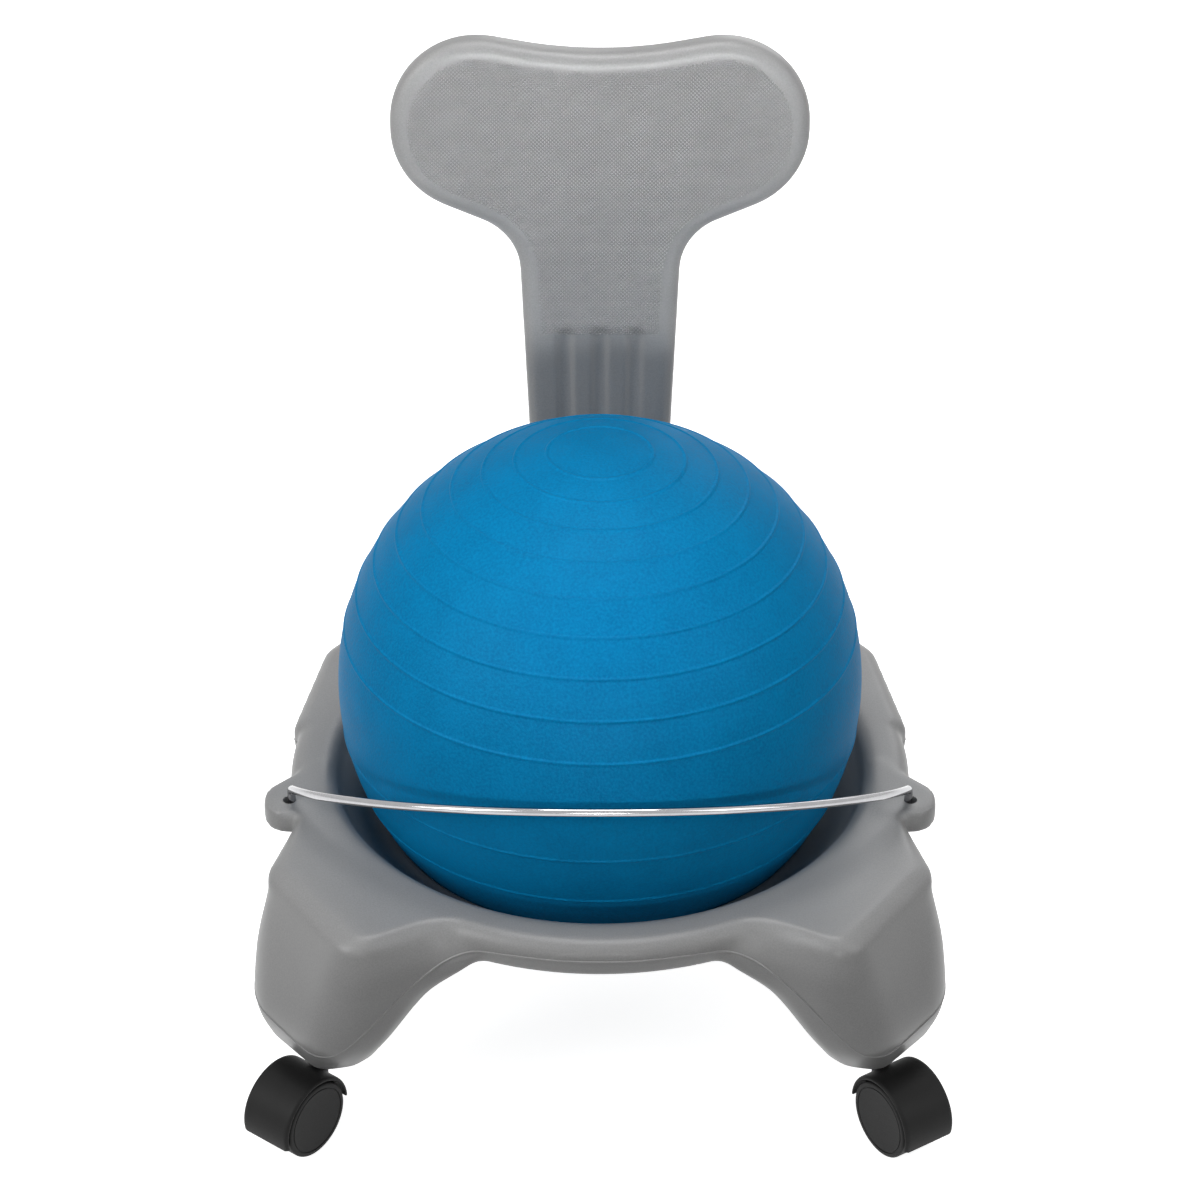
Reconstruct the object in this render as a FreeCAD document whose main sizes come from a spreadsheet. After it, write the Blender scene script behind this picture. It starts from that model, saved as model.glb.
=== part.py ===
import FreeCAD, Part
import math
import os

import Sketcher
from FreeCAD import Placement, Rotation, Vector

# The chair stands on the floor at height 0 with its ball's middle on Z. The front is towards -Y, the right is +X.
# Round stretches that need many facets are made of a few straight runs.

doc = FreeCAD.newDocument("ball_chair")
sheet = doc.addObject("Spreadsheet::Sheet", "sizes")

# Driving dimensions, in millimetres and degrees
DIMENSIONS = [
    # ball
    ("ball_radius", 190, "ball, outside"),
    ("ball_centre_height", 277, "ball centre above the floor"),
    ("ball_skin", 1.3, "thickness of the ball's skin at its corners"),
    ("ball_tilt", 2, "angle that the ball's upper pole is turned to the back"),
    ("ball_run", 9, "largest angle of a straight run of the ball's outline"),
    ("ball_inner_runs", 10, "straight runs of the ball's inner outline"),
    ("ring_count", 9, "rings on each half of the ball"),
    ("ring_first", 11.4, "angle from the pole to the first ring"),
    ("ring_pitch", 7, "angle between the ball's rings"),
    ("ring_spread", 0.135, "growth of that angle from ring to ring"),
    ("ring_low_shift", 3.9, "how much nearer to the equator the lower half's rings lie"),
    ("ring_height", 0.8, "raised rings on the ball"),
    ("ring_width", 3.3, "width of a ring"),
    ("plug_radius", 4, "shank of the stopper"),
    ("plug_head_radius", 9, "head of the stopper"),
    ("plug_head_thickness", 1.6, "head of the stopper"),
    ("plug_length", 20, "stopper from head to tip"),
    # rim that holds the ball
    ("deck_height", 207, "top of the rim and the legs above the floor"),
    ("rim_radius", 228, "outermost edge of the rim"),
    ("rim_edge_height", 194, "height of that edge"),
    ("rim_crest_radius", 213, "where the flat deck ends outside"),
    ("rim_lower_radius", 222, "outer edge of the rim's underside"),
    ("rim_lower_height", 179, "height of that edge"),
    ("lip_radius", 204, "where the flat deck ends inside"),
    ("lip_round", 12, "rounding of the lip into the bowl"),
    ("bowl_sag", 5, "how much the bowl's wall hollows out"),
    ("seat_outer_radius", 158, "outer edge of the band that the ball rests on"),
    ("seat_inner_radius", 138, "inner edge of that band, and of the opening"),
    ("seat_gap", 0.3, "play between ball and band"),
    ("rim_wall_height", 18, "height of the opening's inner wall"),
    ("rim_runs", 3, "straight runs in each round stretch of the rim's outline"),
    # legs, each a stack of six sections
    ("leg_bottom", 70, "underside of a leg above the floor"),
    ("leg_line_height", 104, "section at the mould's parting line"),
    ("leg_belly_height", 150, "section at the fullest part"),
    ("leg_shoulder_height", 190, "section where a leg's flank turns into the deck"),
    ("leg_crown_height", 202, "section in the rounded edge of the deck"),
    ("leg_bottom_round", 12, "corners of the underside"),
    ("leg_line_round", 19, "corners at the parting line"),
    ("leg_belly_round", 30, "corners at the fullest part"),
    ("leg_shoulder_round", 20, "corners at the shoulder"),
    ("leg_crown_round", 16, "corners in the rounded edge"),
    ("leg_deck_round", 12, "corners of the deck"),
    ("leg_blend", 16, "hollow where a leg's front runs into the rim"),
    ("leg_hidden_round", 2, "a leg's two corners under the rim"),
    # ears and bar
    ("ear_end", 20.5, "ear beyond the bar's hole, outwards"),
    ("ear_root", 22.5, "ear beyond the bar's hole, inwards"),
    ("ear_front", 16.5, "ear's front edge in front of the bar's hole"),
    ("ear_back", 9.8, "where the ear starts to slant, behind the bar's hole"),
    ("ear_round", 18.5, "ear's outer corners"),
    ("ear_edge", 3, "bevel of the ear's edges"),
    ("ear_thickness", 17, "ear"),
    ("ear_rise", 1, "ear's top above the deck"),
    ("bar_radius", 3, "support bar"),
    ("bar_front", 197, "middle of the bar, in front of the ball's axis"),
    ("bar_front_height", 300, "middle of the bar above the floor"),
    ("bar_end_side", 221, "where the bow ends, sideways"),
    ("bar_end_front", 61, "where the bow ends, in front of the ball's axis"),
    ("bar_end_height", 220, "where the bow ends, above the floor"),
    ("bar_bend", 8, "bend radius of the bar's ends"),
    ("bar_tail", 15, "straight end of the bar inside the ear"),
    ("bar_hole_floor", 6, "hole below the bar's end"),
    ("bar_play", 0.1, "radial play of the bar in its ear"),
    ("bar_runs", 20, "straight runs of the bow"),
    # backrest
    ("back_face", 204, "front face of the post behind the ball's axis"),
    ("back_thickness", 26, "backrest"),
    ("back_lean", 5.7, "lean of the paddle"),
    ("back_bend_height", 345, "where the post starts to lean"),
    ("post_height", 311, "from the deck's top to where the post widens into the paddle"),
    ("post_half_width", 46, "post at the deck, half"),
    ("neck_half_width", 58.5, "post where it widens, half"),
    ("neck_round", 45, "rounding of that corner"),
    ("back_half_width", 153.5, "paddle, half"),
    ("lobe_rise", 39.7, "paddle's lower corner above the post"),
    ("lobe_round", 64, "rounding of the lower corners"),
    ("lobe_height", 124.6, "from the lower to the upper corner"),
    ("dip_depth", 27.6, "middle of the top edge below the upper corners"),
    ("dip_round", 320, "rounding of the dip"),
    ("tenon_length", 55, "post below the deck's top"),
    ("back_edge_bevel", 6, "bevel of the backrest's edges"),
    ("back_edge_break", 1.6, "second bevel of each edge that the first one leaves"),
    ("flute_radius", 8, "flute's cutter"),
    ("flute_depth", 3.2, "flute"),
    ("flute_spacing", 26.4, "between flutes, at their tops"),
    ("flute_converge", 2.3, "how much closer the outer flutes stand at their bottoms"),
    ("flute_below_neck", 88.6, "centre of a flute's round top below the corner of the neck"),
    ("flute_length", 129, "between the centres of a flute's round ends"),
    ("tenon_gap", 0.3, "play of the post in its pocket"),
    ("pocket_wall", 10, "wall round the pocket"),
    ("pocket_front_wall", 4, "wall in front of the pocket"),
    ("pocket_rise", 12, "pocket's collar above the deck"),
    # bolts of the backrest
    ("bolt_radius", 4, "bolt shank"),
    ("bolt_head_across", 13, "bolt's hexagon head, across flats"),
    ("bolt_head_height", 5, "bolt head"),
    ("bolt_half_spacing", 24, "each bolt from the middle"),
    ("bolt_height", 178, "bolts above the floor"),
    ("bolt_reach", 16, "bolt inside the post"),
    ("washer_radius", 9.5, "washer"),
    ("washer_thickness", 1.6, "washer"),
    ("insert_across", 11.5, "threaded insert's hexagon, across flats"),
    ("insert_length", 18, "threaded insert"),
    ("fixed_gap", 0.05, "play of pressed and screwed pieces"),
    # casters
    ("front_stem_side", 202, "front caster's stem, sideways"),
    ("front_stem_front", 167, "front caster's stem, in front of the axis"),
    ("rear_stem_side", 176, "rear caster's stem, sideways"),
    ("rear_stem_behind", 180, "rear caster's stem, behind the axis"),
    ("caster_turn", 38, "angle that a caster is turned outwards"),
    ("front_right_turn", 33.5, "the same for the front right one"),
    ("wheel_radius", 29, "wheel"),
    ("wheel_inner", 6.5, "wheel's inner face from the middle"),
    ("wheel_outer", 20.5, "wheel's outer face from the middle"),
    ("axle_radius", 3, "axle"),
    ("axle_half", 15, "axle, half its length"),
    ("running_play", 0.05, "radial play of axles and stems"),
    ("side_play", 0.3, "play between turning faces"),
    ("hood_radius", 34, "hood, outside"),
    ("hood_wall", 3.2, "hood"),
    ("hood_half_width", 21.5, "hood, half"),
    ("hood_wrap", 191, "angle that the hood wraps"),
    ("hood_tilt", 8.5, "hood's middle, tilted to the front of the wheel"),
    ("hood_half_web", 2.5, "hood's middle wall, half"),
    ("hood_edge", 2.5, "bevel of the hood's edges"),
    ("hub_radius", 7, "hood's hub round the axle"),
    ("trail", 27, "stem ahead of the axle"),
    ("boss_radius", 6.2, "hood's boss round the stem"),
    ("boss_bottom", 1, "boss's lower end above the axle"),
    ("boss_top", 35, "boss's upper end above the axle"),
    ("stem_radius", 4, "stem"),
    ("stem_seat", 6, "stem's lower end above the axle"),
    ("stem_reach", 31, "stem above the leg's underside"),
    ("shoulder_radius", 5, "stem's lower part, up to its shoulder"),
    ("socket_radius", 6.5, "socket sleeve"),
    ("socket_length", 34, "socket sleeve"),
    ("socket_flange_radius", 9.5, "socket's flange"),
    ("socket_flange", 1.5, "thickness of that flange"),
]

for row, (alias, value, note) in enumerate(DIMENSIONS, 1):
    sheet.set(f"A{row}", note)
    sheet.set(f"B{row}", str(value))
    sheet.setAlias(f"B{row}", alias)
doc.recompute()


def size(alias):
    return float(sheet.get(alias))


# Corners of a leg's horizontal sections (sideways, forwards), in order: side, front, where the front blends
# into the rim, the arch's side, inner, rear. The legs on the left are mirrored from those on the right, and a
# rear leg is measured backwards.
FRONT_LEG = {
    "deck": [(222, 137), (165, 219), (114, 186), (66, 199), (96, 90), (213, 68)],
    "crown": [(231, 138), (171, 229), (113, 193), (68, 207), (98, 92), (217, 72)],
    "shoulder": [(237, 142), (175, 236), (112, 200), (74, 212), (100, 96), (220, 78)],
    "belly": [(245, 160), (178, 238), (126, 212), (108, 196), (122, 112), (232, 94)],
    "line": [(239, 164), (188, 222), (154, 211), (140, 193), (146, 122), (230, 110)],
    "bottom": [(228, 158), (198, 195), (176, 195), (162, 182), (162, 146), (222, 130)],
}
REAR_LEG = {
    "deck": [(194, 140), (148, 206), (104, 180), (60, 199), (84, 90), (206, 74)],
    "crown": [(201, 144), (152, 215), (104, 188), (64, 207), (86, 93), (211, 80)],
    "shoulder": [(207, 150), (155, 221), (104, 196), (70, 213), (88, 96), (214, 86)],
    "belly": [(213, 164), (156, 226), (112, 208), (94, 192), (104, 116), (212, 102)],
    "line": [(212, 172), (166, 219), (136, 210), (122, 192), (126, 130), (208, 120)],
    "bottom": [(206, 172), (176, 208), (150, 206), (138, 192), (136, 152), (200, 138)],
}
LEG_LEVELS = {
    "bottom": ("leg_bottom", "leg_bottom_round"),
    "line": ("leg_line_height", "leg_line_round"),
    "belly": ("leg_belly_height", "leg_belly_round"),
    "shoulder": ("leg_shoulder_height", "leg_shoulder_round"),
    "crown": ("leg_crown_height", "leg_crown_round"),
    "deck": ("deck_height", "leg_deck_round"),
}


# Outlines

def rounded_outline(corners):
    """A closed wire of straight runs and arcs through corners given as (point, radius)."""
    pieces = []
    count = len(corners)
    for i, (corner, radius) in enumerate(corners):
        before = corners[i - 1][0]
        after = corners[(i + 1) % count][0]
        into = (before - corner).normalize()
        out = (after - corner).normalize()
        half = into.getAngle(out) / 2
        trim = radius / math.tan(half)
        middle = corner + (into + out).normalize() * (radius / math.sin(half) - radius)
        pieces.append((corner + into * trim, middle, corner + out * trim))
    edges = []
    for i, (start, middle, end) in enumerate(pieces):
        edges.append(Part.Arc(start, middle, end).toShape())
        following = pieces[(i + 1) % count][0]
        if (following - end).Length > 1e-4:
            edges.append(Part.LineSegment(end, following).toShape())
    return Part.Wire(edges)


def feature(label, shape, placement=Placement()):
    made = doc.addObject("Part::Feature", label)
    made.Label = label
    made.Shape = shape
    made.Placement = placement
    return made


# Base

def seat_height(radius):
    """Height of the band under the ball at a distance from the ball's axis."""
    reach = size("ball_radius") + size("seat_gap")
    return size("ball_centre_height") - math.sqrt(reach ** 2 - radius ** 2)


def revolved(edges):
    return Part.Face(Part.Wire(edges)).revolve(Vector(), Vector(0, 0, 1), 360)


def chain(points):
    return [Part.LineSegment(a, b).toShape() for a, b in zip(points, points[1:])]


def runs(start, middle, end):
    """Points of a few straight runs along the arc through three points, without its start."""
    return Part.Arc(start, middle, end).discretize(int(size("rim_runs")) + 1)[1:]


def rim():
    """The round rim before the bowl is cut: flat deck, rolled edge, underside that falls to the opening."""
    top = size("deck_height")
    inner = size("seat_inner_radius") - 10
    crest = Vector(size("rim_crest_radius"), 0, top)
    edge = Vector(size("rim_radius"), 0, size("rim_edge_height"))
    lower = Vector(size("rim_lower_radius"), 0, size("rim_lower_height"))
    across = edge - crest
    roll = (across.x ** 2 + across.z ** 2) / (-2 * across.z)
    halfway = math.asin(across.x / roll) / 2
    shoulder = crest + Vector(roll * math.sin(halfway), 0, roll * (math.cos(halfway) - 1))
    opening = seat_height(size("seat_inner_radius")) - size("rim_wall_height")
    points = [Vector(inner, 0, opening), Vector(inner, 0, top), crest] + runs(crest, shoulder, edge)
    points += [lower, Vector(size("seat_inner_radius"), 0, opening), points[0]]
    return revolved(chain(points))


def bowl_cutter():
    """The space of ball and bowl: opening, band that follows the ball, hollow wall, rounded lip."""
    reach = size("ball_radius") + size("seat_gap")
    centre = size("ball_centre_height")
    above = size("deck_height") + size("bar_front_height")
    inner = size("seat_inner_radius")
    outer = size("seat_outer_radius")
    lip = Vector(size("lip_radius"), 0, size("deck_height"))
    wall = lip + Vector(-size("lip_round"), 0, -size("lip_round"))
    quarter = math.sqrt(0.5) * size("lip_round")
    lip_middle = lip + Vector(-quarter, 0, quarter - size("lip_round"))
    band_low = Vector(inner, 0, seat_height(inner))
    band_high = Vector(outer, 0, seat_height(outer))
    between = (math.asin(inner / reach) + math.asin(outer / reach)) / 2
    band_middle = Vector(reach * math.sin(between), 0, centre - reach * math.cos(between))
    across = wall - band_high
    hollow = (wall + band_high) * 0.5 + Vector(across.z, 0, -across.x).normalize() * size("bowl_sag")
    points = [Vector(lip.x, 0, above), Vector(0, 0, above), Vector(), Vector(inner, 0, 0), band_low]
    points += runs(band_low, band_middle, band_high)
    points += runs(band_high, hollow, wall)
    points += runs(wall, lip_middle, lip)
    return revolved(chain(points + points[:1]))


def leg(sections, side, front):
    """A leg lofted through its rounded sections."""
    wires = []
    for name, (height, rounding) in LEG_LEVELS.items():
        corners = [(Vector(side * x, front * y, size(height)), size(rounding)) for x, y in sections[name]]
        corners[2] = (corners[2][0], size("leg_blend"))
        corners[4:] = [(corner, size("leg_hidden_round")) for corner, rounding in corners[4:]]
        wires.append(rounded_outline(corners))
    return Part.makeLoft(wires, True, True)


def bar_hole_point(side):
    """Where the bar's straight end stands in its ear."""
    tail = bar_curve(side)[2]
    return Vector(tail.x, tail.y, 0)


def bar_curve(side):
    """The bend at one end of the bar: its start, middle and end."""
    middle = Vector(0, -size("bar_front"), size("bar_front_height"))
    start = Vector(side * size("bar_end_side"), -size("bar_end_front"), size("bar_end_height"))
    other = Vector(-start.x, start.y, start.z)
    bow = Part.Arc(other, middle, start)
    along = bow.tangent(bow.LastParameter)[0]
    down = Vector(0, 0, -1)
    turn = along.getAngle(down)
    inward = (down - along * along.dot(down)).normalize()
    centre = start + inward * size("bar_bend")

    def bent(angle):
        return centre + (along * math.sin(angle) - inward * math.cos(angle)) * size("bar_bend")

    return start, bent(turn / 2), bent(turn)


def ear(side):
    """A tab with bevelled edges that carries one end of the bar; its outer edge slants back into the rim."""
    hole = bar_hole_point(side)
    bottom = size("deck_height") + size("ear_rise") - size("ear_thickness")
    root = -size("ear_root")
    end = size("ear_end")
    back = size("ear_back")
    hidden = size("ear_edge") + 1
    corners = [(root, back + end - root, hidden), (end, back, size("ear_round")),
               (end, -size("ear_front"), size("ear_round")), (root, -size("ear_front"), hidden)]
    places = [(Vector(hole.x + side * x, hole.y + y, bottom), rounding) for x, y, rounding in corners]
    tab = Part.Face(rounded_outline(places)).extrude(Vector(0, 0, size("ear_thickness")))
    edges = [e for e in tab.Edges if abs(e.tangentAt(e.FirstParameter).z) < 0.1]
    return tab.makeChamfer(size("ear_edge"), edges)


def pocket_sizes():
    """Half width, front and back of the pocket that holds the post."""
    gap = size("tenon_gap")
    half = size("post_half_width") + gap
    front = size("back_face") - gap
    back = size("back_face") + size("back_thickness") + gap
    return half, front, back


def pocket_block():
    half, front, back = pocket_sizes()
    wall = size("pocket_wall")
    bottom = size("deck_height") - size("tenon_length") - wall
    height = size("tenon_length") + wall + size("pocket_rise")
    front -= size("pocket_front_wall")
    block = Part.makeBox(2 * (half + wall), back + wall - front, height, Vector(-half - wall, front, bottom))
    rear_edges = [e for e in block.Edges if e.CenterOfMass.y > back]
    upright = [e for e in rear_edges if abs(e.tangentAt(e.FirstParameter).z) > 0.9]
    return block.makeFillet(wall, upright)


def base_shell():
    half, front, back = pocket_sizes()
    top = size("deck_height")
    solid = rim()
    additions = [pocket_block()]
    for side in (-1, 1):
        additions.append(leg(FRONT_LEG, side, -1))
        additions.append(leg(REAR_LEG, side, 1))
        additions.append(ear(side))
    solid = solid.multiFuse(additions).removeSplitter()
    cutters = [bowl_cutter()]
    pocket_bottom = top - size("tenon_length") - size("tenon_gap")
    cutters.append(Part.makeBox(2 * half, back - front, top, Vector(-half, front, pocket_bottom)))
    for side in (-1, 1):
        hole = bar_hole_point(side)
        hole.z = size("bar_end_height") - size("bar_bend") - size("bar_tail") - size("bar_hole_floor")
        cutters.append(Part.makeCylinder(size("bar_radius") + size("bar_play"), top, hole))
        across = side * size("bolt_half_spacing")
        cutters.append(Part.makeCylinder(size("bolt_radius") + size("fixed_gap"), size("back_thickness"),
                                         Vector(across, back - 1, size("bolt_height")), Vector(0, 1, 0)))
    for x, y in stem_places().values():
        cutters.append(Part.makeCylinder(size("socket_radius") + size("fixed_gap"),
                                         size("socket_length"), Vector(x, y, size("leg_bottom"))))
    return solid.cut(Part.makeCompound(cutters)).removeSplitter()


def stem_places():
    front = (size("front_stem_side"), -size("front_stem_front"))
    rear = (size("rear_stem_side"), size("rear_stem_behind"))
    return {
        "front_left": (-front[0], front[1]),
        "front_right": front,
        "rear_left": (-rear[0], rear[1]),
        "rear_right": rear,
    }


feature("base_shell", base_shell())


# Backrest

def front_outline():
    """Front view of the unbent backrest: two round lobes on a neck that runs down into the tapered post."""
    bottom = size("deck_height") - size("tenon_length")
    neck = size("deck_height") + size("post_height")
    slope = (size("neck_half_width") - size("post_half_width")) / size("post_height")
    foot = size("post_half_width") - slope * size("tenon_length")
    lobe = neck + size("lobe_rise")
    top = lobe + size("lobe_height")
    right = [
        (size("back_half_width"), top, size("lobe_round")),
        (size("back_half_width"), lobe, size("lobe_round")),
        (size("neck_half_width"), neck, size("neck_round")),
        (foot, bottom, 2 * size("back_edge_bevel")),
    ]
    corners = [(Vector(0, 0, top - size("dip_depth")), size("dip_round"))]
    corners += [(Vector(x, 0, z), r) for x, z, r in right]
    corners += [(Vector(-x, 0, z), r) for x, z, r in reversed(right)]
    return Part.Face(rounded_outline(corners))


def flute(number):
    """A groove with round ends down the post, cut by a rod that lies partly in the front face."""
    radius = size("flute_radius")
    out = size("flute_depth") - radius
    high = Vector(number * size("flute_spacing"), out,
                  size("deck_height") + size("post_height") - size("flute_below_neck"))
    low_spacing = size("flute_spacing") - size("flute_converge")
    low = Vector(number * low_spacing, out, high.z - size("flute_length"))
    rod = Part.makeCylinder(radius, (high - low).Length, low, high - low)
    return rod.multiFuse([Part.makeSphere(radius, low), Part.makeSphere(radius, high)])


def hexagon_bar(across, length, start):
    """A hexagonal bar that lies along +Y."""
    reach = across / math.sqrt(3)
    turns = [math.radians(60 * i) for i in range(7)]
    ring = [start + Vector(reach * math.cos(turn), 0, reach * math.sin(turn)) for turn in turns]
    return Part.Face(Part.makePolygon(ring)).extrude(Vector(0, length, 0))


def beyond_bend(above, tilt):
    """The half of space above or below a plane through the bend line, tilted about it."""
    reach = 2 * size("back_bend_height") + 2 * size("post_height")
    box = Part.makeBox(reach, reach, reach, Vector(-reach / 2, -reach / 2, 0 if above else -reach))
    box.rotate(Vector(), Vector(1, 0, 0), tilt)
    box.translate(Vector(0, 0, size("back_bend_height")))
    return box


def backrest():
    """A flat slab with round edges and flutes, mitred at the bend, its upper part leant backwards."""
    thick = size("back_thickness")
    slab = front_outline().extrude(Vector(0, thick, 0))
    for bevel in (size("back_edge_bevel"), size("back_edge_break")):
        rims = [e for e in slab.Edges if abs(e.tangentAt(e.FirstParameter).y) < 0.9]
        slab = slab.makeChamfer(bevel, rims)
    tools = [flute(i) for i in (-1, 0, 1)]
    across = size("insert_across") + 2 * size("fixed_gap")
    for side in (-1, 1):
        hole = Vector(side * size("bolt_half_spacing"), thick - size("insert_length") - size("fixed_gap"),
                      size("bolt_height"))
        tools.append(hexagon_bar(across, thick, hole))
    slab = slab.cut(tools)
    lean = size("back_lean")
    upper = slab.common(beyond_bend(True, lean / 2))
    upper.rotate(Vector(0, 0, size("back_bend_height")), Vector(1, 0, 0), -lean)
    return slab.common(beyond_bend(False, -lean / 2)).fuse(upper).Solids[0]


feature("backrest", backrest(), Placement(Vector(0, size("back_face"), 0), Rotation()))


# Pieces that are built from the sheet's formulas

ALIASES = {alias for alias, value, note in DIMENSIONS}


def total(terms):
    """Value of a sum of dimensions and numbers, such as 'wheel_radius - wheel_rim'."""
    value = 0
    sign = 1
    for word in terms.split():
        if word in ("+", "-"):
            sign = -1 if word == "-" else 1
        else:
            value += sign * (size(word) if word in ALIASES else float(word))
    return value


def formula(terms):
    """The same sum as a formula of the sheet."""
    return " ".join(f"sizes.{word}" if word in ALIASES else word for word in terms.split())


def cylinder(radius, length, x="0", y="0", z="0", lying=False):
    """A cylinder that stands on (x, y, z), or lies along +Y from there."""
    made = doc.addObject("Part::Cylinder", "cylinder")
    if lying:
        made.Placement = Placement(Vector(), Rotation(Vector(1, 0, 0), -90))
    made.setExpression("Radius", formula(radius))
    made.setExpression("Height", formula(length))
    for axis, terms in zip("xyz", (x, y, z)):
        made.setExpression(f"Placement.Base.{axis}", formula(terms))
    return made


def cut(body, tool):
    made = doc.addObject("Part::Cut", "cut")
    made.Base = body
    made.Tool = tool
    return made


def joined(kind, label, shapes):
    """A union (Part::MultiFuse) of shapes, or a group of separate solids (Part::Compound)."""
    made = doc.addObject(kind, label)
    made.Label = label
    if kind == "Part::Compound":
        made.Links = shapes
    else:
        made.Shapes = shapes
    return made


# Bolts, washers and threaded inserts, each a pair

BLOCK_BACK = "back_face + back_thickness + tenon_gap + pocket_wall"
WASHER_FACE = BLOCK_BACK + " + fixed_gap"
HEAD_FACE = WASHER_FACE + " + washer_thickness"
POST_BACK = "back_face + back_thickness"
BOLT_SIDES = ("- bolt_half_spacing", "bolt_half_spacing")


def hexagon(across, length, x, y, z):
    """A hexagonal bar that lies along +Y from (x, y, z)."""
    made = doc.addObject("Part::Prism", "hexagon")
    made.Polygon = 6
    made.Placement = Placement(Vector(), Rotation(Vector(1, 0, 0), -90))
    made.setExpression("Circumradius", f"sizes.{across} / sqrt(3)")
    made.setExpression("Height", formula(length))
    for axis, terms in zip("xyz", (x, y, z)):
        made.setExpression(f"Placement.Base.{axis}", formula(terms))
    return made


def bolt(side):
    shank_length = HEAD_FACE + " - back_face - back_thickness + bolt_reach"
    head = hexagon("bolt_head_across", "bolt_head_height", side, HEAD_FACE, "bolt_height")
    shank = cylinder("bolt_radius", shank_length, side, POST_BACK + " - bolt_reach", "bolt_height", True)
    return joined("Part::MultiFuse", "bolt", [head, shank])


def washer(side):
    plate = cylinder("washer_radius", "washer_thickness", side, WASHER_FACE, "bolt_height", True)
    hole = cylinder("bolt_radius + fixed_gap", "washer_thickness", side, WASHER_FACE, "bolt_height", True)
    return cut(plate, hole)


def insert(side):
    sleeve = hexagon("insert_across", "insert_length", side, POST_BACK + " - insert_length", "bolt_height")
    hole = cylinder("bolt_radius + fixed_gap", "bolt_reach + side_play", side,
                    POST_BACK + " - bolt_reach - side_play", "bolt_height", True)
    return cut(sleeve, hole)


joined("Part::Compound", "backrest_bolts", [bolt(side) for side in BOLT_SIDES])
joined("Part::Compound", "backrest_washers", [washer(side) for side in BOLT_SIDES])
joined("Part::Compound", "backrest_inserts", [insert(side) for side in BOLT_SIDES])


# Support bar

def support_bar():
    """A round rod: a wide bow in front of the ball, bent down at both ends into the ears."""
    left, left_bend, left_end = bar_curve(-1)
    right, right_bend, right_end = bar_curve(1)
    middle = Vector(0, -size("bar_front"), size("bar_front_height"))
    tail = Vector(0, 0, -size("bar_tail"))
    bow = Part.Arc(left, middle, right).discretize(int(size("bar_runs")) + 1)
    points = [left_end + tail, left_end, left_bend] + bow + [right_bend, right_end, right_end + tail]
    section = Part.Wire(Part.Circle(points[0], Vector(0, 0, 1), size("bar_radius")).toShape())
    return Part.Wire(chain(points)).makePipeShell([section], True, True, 1)


feature("support_bar", support_bar())


# Ball and its stopper

def ring_angles():
    """Angles from the upper pole to the ball's rings. A wide band round the equator has none."""
    upper = [size("ring_first") + size("ring_pitch") * i + size("ring_spread") * i ** 2
             for i in range(int(size("ring_count")))]
    return upper + [180 - size("ring_low_shift") - angle for angle in reversed(upper)]


def steps_up_to(start, end, largest):
    """Evenly spaced values after the start, up to the end."""
    count = math.ceil((end - start) / largest)
    return [start + (end - start) * k / count for k in range(1, count + 1)]


def turned_about_pole(places):
    """A solid of straight runs through places given as (angle from the upper pole, distance from the centre)."""
    points = [Vector(reach * math.sin(math.radians(angle)), 0, reach * math.cos(math.radians(angle)))
              for angle, reach in places]
    points[0].x = points[-1].x = 0
    return revolved(chain(points + points[:1]))


def ball():
    """A hollow ball with narrow raised rings, turned a little backwards, with a hole for the stopper below."""
    outside = size("ball_radius")
    skin = outside - size("ring_height")
    half = math.degrees(size("ring_width") / 2 / outside)
    places = [(0, skin)]
    for ring in ring_angles():
        places += [(angle, skin) for angle in steps_up_to(places[-1][0], ring - half, size("ball_run"))]
        places += [(ring, outside), (ring + half, skin)]
    places += [(angle, skin) for angle in steps_up_to(places[-1][0], 180, size("ball_run"))]
    inner_angles = [0] + steps_up_to(0, 180, 180 / size("ball_inner_runs"))
    inner = [(angle, skin - size("ball_skin")) for angle in inner_angles]
    solid = turned_about_pole(places).cut(turned_about_pole(inner))
    solid.rotate(Vector(), Vector(1, 0, 0), -size("ball_tilt"))
    hole = Part.makeCylinder(size("plug_radius") + size("fixed_gap"), outside, Vector(0, 0, -1.5 * outside))
    return solid.cut(hole)


feature("ball", ball(), Placement(Vector(0, 0, size("ball_centre_height")), Rotation()))
plug_shank = cylinder("plug_radius", "plug_length", z="ball_centre_height - ball_radius - fixed_gap")
plug_head = cylinder("plug_head_radius", "plug_head_thickness",
                     z="ball_centre_height - ball_radius - plug_head_thickness - fixed_gap")
joined("Part::MultiFuse", "ball_plug", [plug_shank, plug_head])


# Casters

def make_body(label, place):
    """A body in a caster: x, y and height of its origin as formulas, and the angle it is turned about Z."""
    x, y, height, turn = place
    made = doc.addObject("PartDesign::Body", label)
    made.Label = label
    made.Placement = Placement(Vector(), Rotation(Vector(0, 0, 1), 1))
    made.setExpression("Placement.Base.x", x)
    made.setExpression("Placement.Base.y", y)
    made.setExpression("Placement.Base.z", height)
    made.setExpression("Placement.Rotation.Angle", turn)
    return made


def sketch_on(body, name, role):
    made = body.newObject("Sketcher::SketchObject", name)
    made.AttachmentSupport = [(next(o for o in body.Origin.OriginFeatures if o.Role == role), "")]
    made.MapMode = "FlatFace"
    return made


def bind(sketch, constraint, terms):
    index = sketch.addConstraint(constraint)
    sketch.setExpression(f"Constraints[{index}]", formula(terms))


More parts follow.
